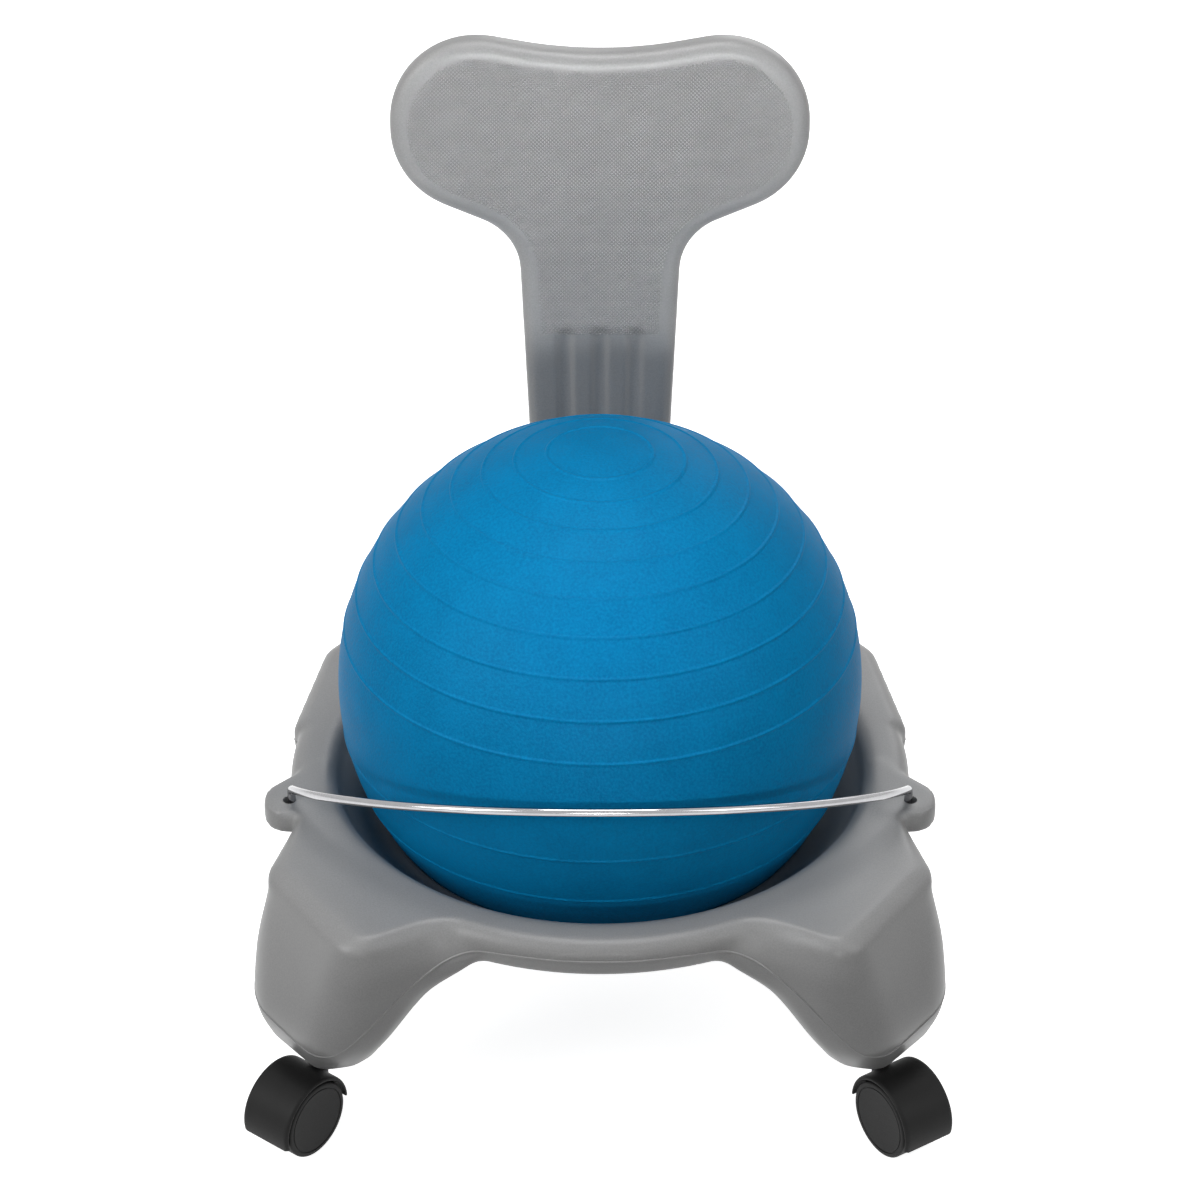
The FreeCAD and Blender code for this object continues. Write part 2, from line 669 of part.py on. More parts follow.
def outline(sketch, corners):
    """A straight-sided outline through corners that are given as sums of dimensions."""
    places = [Vector(total(x), total(y), 0) for x, y in corners]
    count = len(corners)
    for i, start in enumerate(places):
        sketch.addGeometry(Part.LineSegment(start, places[(i + 1) % count]))
    for i in range(count):
        sketch.addConstraint(Sketcher.Constraint("Coincident", i, 2, (i + 1) % count, 1))
    for i, (x, y) in enumerate(corners):
        for kind, terms in (("DistanceX", x), ("DistanceY", y)):
            if terms == "0":
                axis = -2 if kind == "DistanceX" else -1
                sketch.addConstraint(Sketcher.Constraint("PointOnObject", i, 1, axis))
            else:
                bind(sketch, Sketcher.Constraint(kind, -1, 1, i, 1, total(terms)), terms)


def circle(sketch, radius, y="0"):
    sketch.addGeometry(Part.Circle(Vector(0, total(y), 0), Vector(0, 0, 1), total(radius)))
    sketch.addConstraint(Sketcher.Constraint("PointOnObject", 0, 3, -2))
    bind(sketch, Sketcher.Constraint("Radius", 0, total(radius)), radius)
    if y == "0":
        sketch.addConstraint(Sketcher.Constraint("PointOnObject", 0, 3, -1))
    else:
        bind(sketch, Sketcher.Constraint("DistanceY", -1, 1, 0, 3, total(y)), y)


def turned(body, name, role, axis, corners):
    """A full turn of an outline about one axis of its sketch."""
    sketch = sketch_on(body, name + "_outline", role)
    outline(sketch, corners)
    made = body.newObject("PartDesign::Revolution", name)
    made.Profile = sketch
    made.ReferenceAxis = (sketch, [axis])
    made.Angle = 360
    return made


def socket(label, place):
    body = make_body(label, place)
    turned(body, "sleeve", "XZ_Plane", "V_Axis", [
        ("0", "socket_length - side_play"),
        ("0", "stem_reach + side_play"),
        ("stem_radius + running_play", "stem_reach + side_play"),
        ("stem_radius + running_play", "- socket_flange - fixed_gap"),
        ("socket_flange_radius", "- socket_flange - fixed_gap"),
        ("socket_flange_radius", "- fixed_gap"),
        ("socket_radius", "- fixed_gap"),
        ("socket_radius", "socket_length - side_play"),
    ])
    return body


def stem(label, place):
    low = "stem_seat + wheel_radius - leg_bottom"
    shoulder = "- socket_flange - fixed_gap - side_play"
    body = make_body(label, place)
    turned(body, "pin", "XZ_Plane", "V_Axis", [
        ("0", "stem_reach"),
        ("0", low),
        ("shoulder_radius", low),
        ("shoulder_radius", shoulder),
        ("stem_radius", shoulder),
        ("stem_radius", "stem_reach"),
    ])


def axle(label, place):
    body = make_body(label, place)
    turned(body, "rod", "XY_Plane", "H_Axis", [
        ("- axle_half", "0"),
        ("axle_half", "0"),
        ("axle_half", "axle_radius"),
        ("- axle_half", "axle_radius"),
    ])


def wheel(label, place, sign):
    """A wheel with a bore that runs on the axle's end; its outer face is closed."""
    body = make_body(label, place)
    corners = [
        ("wheel_inner", "axle_radius + running_play"),
        ("wheel_inner", "wheel_radius"),
        ("wheel_outer", "wheel_radius"),
        ("wheel_outer", "0"),
        ("axle_half + side_play", "0"),
        ("axle_half + side_play", "axle_radius + running_play"),
    ]
    if sign < 0:
        corners = [(negative(x), y) for x, y in corners]
    turned(body, "disc", "XY_Plane", "H_Axis", corners)


def negative(terms):
    swapped = {"+": "-", "-": "+"}
    return "- " + " ".join(swapped.get(word, word) for word in terms.split())


def hood(label, place):
    """A cover over both wheels with a middle wall, a hub round the axle and a boss round the stem."""
    body = make_body(label, place)
    section = sketch_on(body, "cover_outline", "XZ_Plane")
    inside = "hood_radius - hood_wall"
    outline(section, [
        ("- hood_half_width", inside),
        ("- hood_half_width", "hood_radius - hood_edge"),
        ("hood_edge - hood_half_width", "hood_radius"),
        ("hood_half_width - hood_edge", "hood_radius"),
        ("hood_half_width", "hood_radius - hood_edge"),
        ("hood_half_width", inside),
        ("hood_half_web", inside),
        ("hood_half_web", "axle_radius + fixed_gap"),
        ("- hood_half_web", "axle_radius + fixed_gap"),
        ("- hood_half_web", inside),
    ])
    section.AttachmentOffset = Placement(Vector(), Rotation(Vector(1, 0, 0), 1))
    section.setExpression("AttachmentOffset.Rotation.Angle", "sizes.hood_tilt")
    cover = body.newObject("PartDesign::Revolution", "cover")
    cover.Profile = section
    cover.ReferenceAxis = (section, ["H_Axis"])
    cover.Midplane = True
    cover.setExpression("Angle", "sizes.hood_wrap")
    turned(body, "hub", "XY_Plane", "H_Axis", [
        ("side_play - wheel_inner", "axle_radius + fixed_gap"),
        ("wheel_inner - side_play", "axle_radius + fixed_gap"),
        ("wheel_inner - side_play", "hub_radius"),
        ("side_play - wheel_inner", "hub_radius"),
    ])
    ring = sketch_on(body, "boss_outline", "XY_Plane")
    circle(ring, "boss_radius", "trail")
    ring.setExpression("AttachmentOffset.Base.z", "sizes.boss_bottom")
    boss = body.newObject("PartDesign::Pad", "boss")
    boss.Profile = ring
    boss.setExpression("Length", "sizes.boss_top - sizes.boss_bottom")
    bore = sketch_on(body, "bore_outline", "XY_Plane")
    circle(bore, "shoulder_radius + fixed_gap", "trail")
    bore.setExpression("AttachmentOffset.Base.z", "sizes.stem_seat - sizes.fixed_gap")
    pocket = body.newObject("PartDesign::Pocket", "bore")
    pocket.Profile = bore
    pocket.Reversed = True
    pocket.setExpression("Length", "sizes.boss_top")
    body.Tip = pocket


def caster(name, x, y, turn):
    """A twin-wheel caster whose stem stands at (x, y) and whose axle trails it at an angle about Z."""
    axle_x = f"{x} + sizes.trail * sin({turn})"
    axle_y = f"{y} - sizes.trail * cos({turn})"
    axle_place = (axle_x, axle_y, "sizes.wheel_radius", turn)
    stem(name + "_stem", (x, y, "sizes.leg_bottom", turn))
    hood(name + "_hood", axle_place)
    axle(name + "_axle", axle_place)
    wheel(name + "_wheel_left", axle_place, -1)
    wheel(name + "_wheel_right", axle_place, 1)


CASTERS = {
    "front_left": ("-sizes.front_stem_side", "-sizes.front_stem_front", "-sizes.caster_turn"),
    "front_right": ("sizes.front_stem_side", "-sizes.front_stem_front", "sizes.front_right_turn"),
    "rear_left": ("-sizes.rear_stem_side", "sizes.rear_stem_behind", "-(180 - sizes.caster_turn)"),
    "rear_right": ("sizes.rear_stem_side", "sizes.rear_stem_behind", "180 - sizes.caster_turn"),
}

for name, (x, y, turn) in CASTERS.items():
    caster(name, x, y, turn)
sockets = [socket(name + "_socket", (x, y, "sizes.leg_bottom", turn)) for name, (x, y, turn) in CASTERS.items()]
joined("Part::Compound", "caster_sockets", sockets)

doc.recompute()


# Checks and files

CASTER_PIECES = ("stem", "hood", "axle", "wheel_left", "wheel_right")
NODES = ["base_shell", "backrest", "backrest_bolts", "backrest_washers", "backrest_inserts", "support_bar", "ball",
         "ball_plug", "caster_sockets"]
NODES += [f"{place}_{piece}" for place in CASTERS for piece in CASTER_PIECES]

for made in doc.Objects:
    if "Invalid" in made.State or "Error" in made.State:
        raise RuntimeError(f"{made.Label} did not build")

os.makedirs("parts", exist_ok=True)
for node in NODES:
    shape = doc.getObjectsByLabel(node)[0].Shape
    if shape.isNull() or not shape.isValid() or not shape.Solids:
        raise RuntimeError(f"{node} has no valid solid")
    shape.exportStep(f"parts/{node}.step")
    print(node, len(shape.Solids), round(shape.Volume))
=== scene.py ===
import math

import bmesh
import bpy
import numpy as np
from mathutils import Matrix, Vector
from mathutils.bvhtree import BVHTree


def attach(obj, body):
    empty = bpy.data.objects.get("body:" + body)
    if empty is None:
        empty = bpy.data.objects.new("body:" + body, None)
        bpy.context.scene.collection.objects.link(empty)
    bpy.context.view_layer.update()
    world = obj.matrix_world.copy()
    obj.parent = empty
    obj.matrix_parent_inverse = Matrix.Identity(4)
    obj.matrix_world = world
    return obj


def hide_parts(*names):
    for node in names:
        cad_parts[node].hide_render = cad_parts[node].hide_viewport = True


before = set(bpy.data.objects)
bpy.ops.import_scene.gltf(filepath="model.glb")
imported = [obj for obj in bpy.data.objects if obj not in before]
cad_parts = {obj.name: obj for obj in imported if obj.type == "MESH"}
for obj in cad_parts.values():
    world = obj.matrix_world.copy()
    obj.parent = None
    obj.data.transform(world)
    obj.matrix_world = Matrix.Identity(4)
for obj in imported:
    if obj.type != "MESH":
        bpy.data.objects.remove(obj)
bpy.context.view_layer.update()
mm = 0.001
print("frame loaded")


# Small helpers. Sizes are written in millimetres and become metres when a mesh is made.
# The chair stands at height 0 with its ball's middle over the origin. Its front is towards -Y, its right +X.

def newPiece(name, points, faces, material):
    mesh = bpy.data.meshes.new(name)
    mesh.from_pydata([tuple(c * mm for c in p) for p in points], [], faces)
    mesh.validate()
    return finished(name, mesh, material)


def finished(name, mesh, material):
    piece = bpy.data.objects.new(name, mesh)
    bpy.context.scene.collection.objects.link(piece)
    piece.data.materials.clear()
    piece.data.materials.append(material)
    for face in piece.data.polygons:
        face.use_smooth = True
    return piece


def turnOutwards(piece):
    work = bmesh.new()
    work.from_mesh(piece.data)
    bmesh.ops.remove_doubles(work, verts=work.verts, dist=0.001 * mm)
    bmesh.ops.recalc_face_normals(work, faces=work.faces)
    work.to_mesh(piece.data)
    work.free()


def sharpen(piece, degrees=35):
    # edges steeper than this stay crisp
    work = bmesh.new()
    work.from_mesh(piece.data)
    for edge in work.edges:
        if len(edge.link_faces) == 2:
            edge.smooth = edge.calc_face_angle(0) < math.radians(degrees)
    work.to_mesh(piece.data)
    work.free()


def place(piece, body, slot, *nodes):
    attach(piece, body)
    if nodes:
        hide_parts(*nodes)


def closedLathe(profile, steps, axis="z"):
    # turns a closed profile of (distance from the axis, height) once round
    points = []
    faces = []
    count = len(profile)
    for i in range(steps):
        angle = 2 * math.pi * i / steps
        for radius, height in profile:
            if axis == "z":
                points.append((radius * math.cos(angle), radius * math.sin(angle), height))
            else:
                points.append((height, radius * math.cos(angle), radius * math.sin(angle)))
    for i in range(steps):
        for j in range(count):
            a = i * count + j
            b = i * count + (j + 1) % count
            c = ((i + 1) % steps) * count
            faces.append((a, b, c + (j + 1) % count, c + j))
    return points, faces


tubeEnd = {"reach": 0.35, "steps": (0.6, 0.9, 1.0), "narrowing": 0.85}  # the rounding of a tube's ends


def tube(path, radius, sides):
    # a round tube with rounded ends along a line of points, kept from twisting
    path = [Vector(p) for p in path]
    last = len(path) - 1
    along = [(path[min(i + 1, last)] - path[max(i - 1, 0)]).normalized() for i in range(len(path))]
    side = along[0].orthogonal().normalized()
    rings = []
    for i, (point, direction) in enumerate(zip(path, along)):
        side = (side - direction * side.dot(direction)).normalized()
        rings.append((point, side.copy(), direction.cross(side), radius))
    caps = []
    for point, direction, ring in ((path[0], -along[0], rings[0]), (path[-1], along[-1], rings[-1])):
        cap = [(point + direction * radius * tubeEnd["reach"] * k, ring[1], ring[2],
                radius * math.sqrt(1 - k * k * tubeEnd["narrowing"])) for k in tubeEnd["steps"]]
        caps.append(cap)
    rings = caps[0][::-1] + rings + caps[1]
    points = []
    faces = []
    for point, right, up, size in rings:
        for j in range(sides):
            angle = 2 * math.pi * j / sides
            points.append(point + (right * math.cos(angle) + up * math.sin(angle)) * size)
    for i in range(len(rings) - 1):
        for j in range(sides):
            k = (j + 1) % sides
            faces.append((i * sides + j, i * sides + k, (i + 1) * sides + k, (i + 1) * sides + j))
    faces.append(tuple(range(sides))[::-1])
    faces.append(tuple(len(points) - sides + j for j in range(sides)))
    return points, faces


def arcThrough(start, middle, end, steps):
    # points on the circle through three points
    start, middle, end = Vector(start), Vector(middle), Vector(end)
    a = middle - start
    b = end - start
    normal = a.cross(b)
    centre = start + (normal.cross(a) * b.length_squared - normal.cross(b) * a.length_squared) / (
        2 * normal.length_squared)
    u = start - centre
    v = normal.normalized().cross(u)
    sweep = math.atan2((end - centre).dot(v), (end - centre).dot(u)) % (2 * math.pi)
    turns = [sweep * i / steps for i in range(steps + 1)]
    return [centre + u * math.cos(turn) + v * math.sin(turn) for turn in turns]


def roundedOutline(corners, perCorner, perSide):
    # points round a polygon of (x, y, radius) corners, as many for every outline with as many corners
    points = []
    arcs = []
    count = len(corners)
    for i, (x, y, radius) in enumerate(corners):
        corner = Vector((x, y))
        into = (Vector(corners[i - 1][:2]) - corner).normalized()
        out = (Vector(corners[(i + 1) % count][:2]) - corner).normalized()
        half = into.angle(out) / 2
        centre = corner + (into + out).normalized() * radius / math.sin(half)
        start = corner + into * radius / math.tan(half) - centre
        end = corner + out * radius / math.tan(half) - centre
        sweep = start.angle_signed(end)
        arc = []
        for k in range(perCorner + 1):
            turn = -sweep * k / perCorner
            arc.append(centre + Vector((start.x * math.cos(turn) - start.y * math.sin(turn),
                                        start.x * math.sin(turn) + start.y * math.cos(turn))))
        arcs.append(arc)
    for i, arc in enumerate(arcs):
        points += arc
        nextStart = arcs[(i + 1) % count][0]
        for k in range(1, perSide):
            points.append(arc[-1].lerp(nextStart, k / perSide))
    return np.array([tuple(p) for p in points])


def ringFaces(rings, count):
    # skin between rings of equally many points, closed at both ends
    faces = []
    for i in range(rings - 1):
        for j in range(count):
            k = (j + 1) % count
            faces.append((i * count + j, i * count + k, (i + 1) * count + k, (i + 1) * count + j))
    faces.append(tuple(range(count))[::-1])
    faces.append(tuple((rings - 1) * count + j for j in range(count)))
    return faces


def evaluated(piece):
    # applies the piece's modifiers to its mesh
    depsgraph = bpy.context.evaluated_depsgraph_get()
    mesh = bpy.data.meshes.new_from_object(piece.evaluated_get(depsgraph))
    piece.modifiers.clear()
    old = piece.data
    piece.data = mesh
    bpy.data.meshes.remove(old)
    return piece


def joinInto(target, others):
    with bpy.context.temp_override(active_object=target, selected_editable_objects=[target] + others):
        bpy.ops.object.join()
    return target


def carve(piece, cutter):
    modifier = piece.modifiers.new("carve", "BOOLEAN")
    modifier.operation = "DIFFERENCE"
    modifier.solver = "EXACT"
    modifier.object = cutter
    evaluated(piece)
    bpy.data.objects.remove(cutter)


def remesh(piece, voxel):
    modifier = piece.modifiers.new("voxels", "REMESH")
    modifier.mode = "VOXEL"
    modifier.voxel_size = voxel * mm
    evaluated(piece)


relaxStep = 0.6  # how far a point moves towards the middle of its neighbours in one pass


def relax(piece, passes, weightOf, wear=1):
    # evens the surface out, each point as far as weightOf(points in mm) allows; wear says how far edges may
    # be worn down while hollows fill
    count = len(piece.data.vertices)
    spots = np.zeros(count * 3)
    piece.data.vertices.foreach_get("co", spots)
    spots = spots.reshape(-1, 3)
    edges = np.zeros(len(piece.data.edges) * 2, dtype=np.int64)
    piece.data.edges.foreach_get("vertices", edges)
    a, b = edges.reshape(-1, 2).T
    neighbours = np.bincount(a, minlength=count) + np.bincount(b, minlength=count)
    weight = weightOf(spots / mm)[:, None]
    for i in range(passes):
        total = np.zeros((count, 3))
        for axis in range(3):
            total[:, axis] = (np.bincount(a, spots[b, axis], count) + np.bincount(b, spots[a, axis], count))
        step = weight * relaxStep * (total / np.maximum(neighbours, 1)[:, None] - spots)
        if wear < 1:
            outwards = np.zeros(count * 3)
            piece.data.vertex_normals.foreach_get("vector", outwards)
            worn = (step * outwards.reshape(-1, 3)).sum(1) < 0
            step[worn] *= wear
        spots = spots + step
        piece.data.vertices.foreach_set("co", spots.ravel())
        piece.data.update()


def everywhere(points):
    return np.ones(len(points))


def normals2d(points):
    # outward directions of a closed outline that runs anticlockwise
    ahead = np.roll(points, -1, axis=0) - np.roll(points, 1, axis=0)
    ahead /= np.linalg.norm(ahead, axis=1)[:, None]
    return np.stack([ahead[:, 1], -ahead[:, 0]], 1)


def arcRuns(start, middle, end, steps):
    # arcThrough for points given as (distance from the axis, height)
    return [(p.x, p.z) for p in arcThrough((start[0], 0, start[1]), (middle[0], 0, middle[1]),
                                           (end[0], 0, end[1]), steps)]


def box(name, low, high):
    corners = [(x, y, z) for x in (low[0], high[0]) for y in (low[1], high[1]) for z in (low[2], high[2])]
    faces = [(0, 1, 3, 2), (4, 6, 7, 5), (0, 4, 5, 1), (2, 3, 7, 6), (0, 2, 6, 4), (1, 5, 7, 3)]
    return newPiece(name, corners, faces, None)


def rod(name, start, direction, radius, length, sides=32):
    # a cylinder with flat ends
    start = Vector(start)
    along = Vector(direction).normalized()
    side = along.orthogonal().normalized()
    up = along.cross(side)
    points = []
    for end in (start, start + along * length):
        for j in range(sides):
            angle = 2 * math.pi * j / sides
            points.append(end + (side * math.cos(angle) + up * math.sin(angle)) * radius)
    return newPiece(name, points, ringFaces(2, sides), None)


# Materials. Colours are linear, sizes in metres.

noiseRange = (0.3, 0.7)  # most values of a noise texture lie between these
grainHeight = 0.3  # a grain's height as a share of its size


def newMaterial(name):
    material = bpy.data.materials.new(name)
    material.use_nodes = True
    nodes = material.node_tree.nodes
    return material, nodes, material.node_tree.links, nodes["Principled BSDF"]


def noiseFrom(nodes, links, coordinates, size, detail):
    noise = nodes.new("ShaderNodeTexNoise")
    noise.inputs["Scale"].default_value = 1 / size
    noise.inputs["Detail"].default_value = detail
    links.new(coordinates, noise.inputs["Vector"])
    return noise.outputs["Fac"]


def spreadOf(nodes, links, factor, low, high):
    spread = nodes.new("ShaderNodeMapRange")
    spread.inputs["From Min"].default_value = noiseRange[0]
    spread.inputs["From Max"].default_value = noiseRange[1]
    spread.inputs["To Min"].default_value = low
    spread.inputs["To Max"].default_value = high
    links.new(factor, spread.inputs["Value"])
    return spread.outputs["Result"]


def plastic(name, look):
    # moulded plastic: colour that drifts a little, light flecks, and roughness that follows the grain
    material, nodes, links, shader = newMaterial(name)
    coordinates = nodes.new("ShaderNodeTexCoord").outputs["Object"]
    drift = noiseFrom(nodes, links, coordinates, look["driftSize"], detail=3)
    # a colour mix has its colours at inputs 6 and 7, its share at input 0 and its result at output 2
    mix = nodes.new("ShaderNodeMix")
    mix.data_type = "RGBA"
    mix.inputs[6].default_value = (*look["colour"], 1)
    mix.inputs[7].default_value = (*look["otherColour"], 1)
    links.new(spreadOf(nodes, links, drift, 0, 1), mix.inputs[0])
    fine = noiseFrom(nodes, links, coordinates, look["grainSize"], detail=4)
    flecks = nodes.new("ShaderNodeMix")
    flecks.data_type = "RGBA"
    flecks.inputs[7].default_value = (*look["fleckColour"], 1)
    links.new(mix.outputs[2], flecks.inputs[6])
    links.new(spreadOf(nodes, links, fine, 0, look["fleckShare"]), flecks.inputs[0])
    links.new(flecks.outputs[2], shader.inputs["Base Color"])
    links.new(spreadOf(nodes, links, fine, *look["roughness"]), shader.inputs["Roughness"])
    bump = nodes.new("ShaderNodeBump")
    bump.inputs["Strength"].default_value = look["grain"]
    bump.inputs["Distance"].default_value = look["grainSize"] * grainHeight
    links.new(fine, bump.inputs["Height"])
    links.new(bump.outputs["Normal"], shader.inputs["Normal"])
    shader.inputs["Specular IOR Level"].default_value = look["shine"]
    return material


def metal(name, look):
    # bare metal: brightness and roughness that change a little from spot to spot
    material, nodes, links, shader = newMaterial(name)
    coordinates = nodes.new("ShaderNodeTexCoord").outputs["Object"]
    fine = noiseFrom(nodes, links, coordinates, look["grainSize"], detail=3)
    links.new(spreadOf(nodes, links, fine, *look["roughness"]), shader.inputs["Roughness"])
    tint = nodes.new("ShaderNodeMix")
    tint.data_type = "RGBA"
    tint.inputs[6].default_value = (*look["colour"], 1)
    tint.inputs[7].default_value = (*look["otherColour"], 1)
    links.new(fine, tint.inputs[0])
    links.new(tint.outputs[2], shader.inputs["Base Color"])
    shader.inputs["Metallic"].default_value = 1
    return material


greyLook = {"colour": (0.265, 0.265, 0.265), "otherColour": (0.245, 0.245, 0.245), "driftSize": 0.06,
            "fleckColour": (0.42, 0.42, 0.42), "fleckShare": 0.25,
            "grainSize": 0.0011, "grain": 0.16, "roughness": (0.33, 0.43), "shine": 0.42}
blackLook = {"colour": (0.01, 0.01, 0.01), "otherColour": (0.013, 0.013, 0.013), "driftSize": 0.02,
             "fleckColour": (0.02, 0.02, 0.02), "fleckShare": 0.3,
             "grainSize": 0.0008, "grain": 0.12, "roughness": (0.45, 0.58), "shine": 0.16}
whiteLook = {"colour": (0.78, 0.78, 0.76), "otherColour": (0.7, 0.7, 0.68), "driftSize": 0.01,
             "fleckColour": (0.6, 0.6, 0.58), "fleckShare": 0.2,
             "grainSize": 0.0006, "grain": 0.05, "roughness": (0.35, 0.45), "shine": 0.5}
blueLook = {"colour": (0.001, 0.175, 0.4), "otherColour": (0.001, 0.15, 0.35), "driftSize": 0.028,
            "fleckColour": (0.004, 0.33, 0.66), "fleckShare": 0.34,
            "grainSize": 0.0019, "grain": 0.5, "roughness": (0.45, 0.62), "shine": 0.05}
chromeLook = {"colour": (0.44, 0.44, 0.45), "otherColour": (0.36, 0.36, 0.37), "grainSize": 0.004,
              "roughness": (0.08, 0.14)}
steelLook = {"colour": (0.6, 0.6, 0.6), "otherColour": (0.45, 0.45, 0.45), "grainSize": 0.0015,
             "roughness": (0.28, 0.45)}

greyPlastic = plastic("greyPlastic", greyLook)
blackPlastic = plastic("blackPlastic", blackLook)
whitePlastic = plastic("whitePlastic", whiteLook)
ballVinyl = plastic("ballVinyl", blueLook)
chrome = metal("chrome", chromeLook)
steel = metal("steel", steelLook)
print("materials made")


# Base: a round rim with four legs, two ears and the pocket of the backrest, melted into one moulded skin.

baseSize = {
    "deck": 207, "rimCrest": 214, "rimEdge": (227.5, 194), "rimLower": (222, 179), "rimSteps": 160,
    "lip": 204, "lipRound": 12, "bowlSag": 5, "seatOuter": 158, "seatInner": 138, "wallHeight": 18,
    "ballRadius": 190.3, "ballCentre": 277, "legGap": 1.2, "legSteps": 12, "cornerSteps": 8, "sideSteps": 5,
    "skin": 2.65, "relaxPasses": 9, "wear": 0.4, "bottomGive": 0.35, "bottomDepth": 0.5,
    "filletPasses": 60, "filletWear": 0.02,
}
# height, then the rounding of the two outer corners, of the hollow towards the rim, and of the others
legLevels = {"bottom": (70, 14, 16, 12), "line": (104, 34, 16, 16), "belly": (144, 44, 30, 14),
             "shoulder": (190, 28, 52, 8), "crown": (202, 20, 52, 8), "deck": (207, 14, 50, 8)}
frontLeg = {
    "bottom": [(239, 150), (201, 196), (176, 191), (162, 178), (162, 144), (224, 126)],
    "line": [(251, 160), (193, 224), (158, 212), (146, 194), (150, 122), (232, 108)],
    "belly": [(250.5, 157), (178, 236), (134, 212), (119, 197), (130, 112), (230, 94)],
    "shoulder": [(237, 141), (175, 233), (113, 206), (74, 211), (100, 96), (220, 78)],
    "crown": [(234, 137), (171, 228), (114, 198), (68, 206), (98, 92), (217, 72)],
    "deck": [(222, 137), (165, 219), (115, 192), (66, 199), (96, 90), (213, 68)],
}
rearLeg = {
    "bottom": [(206, 172), (176, 208), (150, 206), (138, 192), (136, 152), (200, 138)],
    "line": [(212, 172), (166, 219), (136, 210), (122, 192), (126, 130), (208, 120)],
    "belly": [(213, 160), (156, 226), (112, 208), (94, 192), (104, 116), (222, 60)],
    "shoulder": [(211, 145), (155, 221), (104, 196), (70, 213), (88, 96), (231, 34)],
    "crown": [(208, 143), (152, 215), (104, 188), (64, 207), (86, 93), (228, 34)],
    "deck": [(202, 139), (148, 206), (104, 180), (60, 199), (84, 90), (220, 34)],
}
earSize = {"hole": (222.5, 57.1), "end": 20.5, "root": 22.5, "front": 16.5, "back": 13.8, "round": 18.5,
           "thickness": 19.5, "rise": 1, "rootRound": 3, "holeRadius": 4.8, "barRadius": 3, "barPlay": 0.1,
           "holeFloor": 176, "holeLength": 60, "holeSides": 48}
pocketSize = {"half": 46.3, "front": 203.7, "back": 230.3, "floor": 151.7, "wall": 10, "frontWall": 4,
              "rise": 12, "low": 142, "cornerRound": 10, "frontRound": 1, "boltSide": 24, "boltHeight": 178,
              "boltRadius": 4.05, "boltStart": 2, "boltLength": 30, "openAbove": 40}
stemPlaces = {"front_left": (-202, -167), "front_right": (202, -167), "rear_left": (-176, 180),
              "rear_right": (176, 180)}
socketSize = {"radius": 6.6, "depth": 34, "legBottom": 70}
pastFace = 5  # how far a cutter starts outside the face that it cuts
# where the soft fillets lie, each with the distance over which they fade out
filletArea = {"insideCrest": 6, "crestFade": 8, "belowDeck": 4, "deckFade": 6, "aboveFloor": 90,
              "floorFade": 20, "fromEar": 34, "earFade": 8}


def seatHeight(radius):
    return baseSize["ballCentre"] - math.sqrt(baseSize["ballRadius"] ** 2 - radius ** 2)


def bowlLine():
    # from the seat band's lower edge up to the lip
    b = baseSize
    low = (b["seatInner"], seatHeight(b["seatInner"]))
    high = (b["seatOuter"], seatHeight(b["seatOuter"]))
    middle = ((low[0] + high[0]) / 2, seatHeight((low[0] + high[0]) / 2))
    wall = (b["lip"] - b["lipRound"], b["deck"] - b["lipRound"])
    across = Vector((wall[1] - high[1], high[0] - wall[0])).normalized() * b["bowlSag"]
    hollow = ((wall[0] + high[0]) / 2 + across.x, (wall[1] + high[1]) / 2 + across.y)
    quarter = math.sqrt(0.5) * b["lipRound"]
    lipMiddle = (b["lip"] - quarter, b["deck"] + quarter - b["lipRound"])
    line = arcRuns(low, middle, high, steps=8)
    line += arcRuns(high, hollow, wall, steps=16)[1:]
    line += arcRuns(wall, lipMiddle, (b["lip"], b["deck"]), steps=8)[1:]
    return line


def rimSolid():
    b = baseSize
    # the roll from the flat deck to the edge is an arc that leaves the deck level
    crest = (b["rimCrest"], b["deck"])
    edge = b["rimEdge"]
    across = (edge[0] - crest[0], edge[1] - crest[1])
    roll = (across[0] ** 2 + across[1] ** 2) / (-2 * across[1])
    halfway = math.asin(across[0] / roll) / 2
    shoulder = (crest[0] + roll * math.sin(halfway), crest[1] + roll * (math.cos(halfway) - 1))
    opening = seatHeight(b["seatInner"]) - b["wallHeight"]
    profile = bowlLine() + arcRuns(crest, shoulder, edge, steps=10)
    profile += [b["rimLower"], (b["seatInner"], opening)]
    points, faces = closedLathe(profile, b["rimSteps"])
    rim = newPiece("rim", points, faces, None)
    turnOutwards(rim)
    return rim


def bowlSpace():
    # a little wider than the bowl itself, so that the rim alone makes the bowl's surface
    b = baseSize
    top = b["deck"] + 60
    low = 60
    axis = 0.01  # not quite 0, so that the lathe's faces keep four corners
    line = [(r + b["legGap"], z - b["legGap"]) for r, z in bowlLine()]
    profile = [(axis, low), (line[0][0], low)] + line + [(line[-1][0], top), (axis, top)]
    points, faces = closedLathe(profile, b["rimSteps"])
    space = newPiece("bowlSpace", points, faces, None)
    turnOutwards(space)
    return space


def smoothBetween(values, places, at):
    # a smooth curve through values at places, steadier than a cubic where they turn
    slopes = np.gradient(values, places, axis=0)
    i = int(np.clip(np.searchsorted(places, at) - 1, 0, len(places) - 2))
    width = places[i + 1] - places[i]
    t = (at - places[i]) / width
    a = 2 * t ** 3 - 3 * t ** 2 + 1
    b = t ** 3 - 2 * t ** 2 + t
    c = t ** 3 - t ** 2
    return a * values[i] + b * width * slopes[i] + (1 - a) * values[i + 1] + c * width * slopes[i + 1]


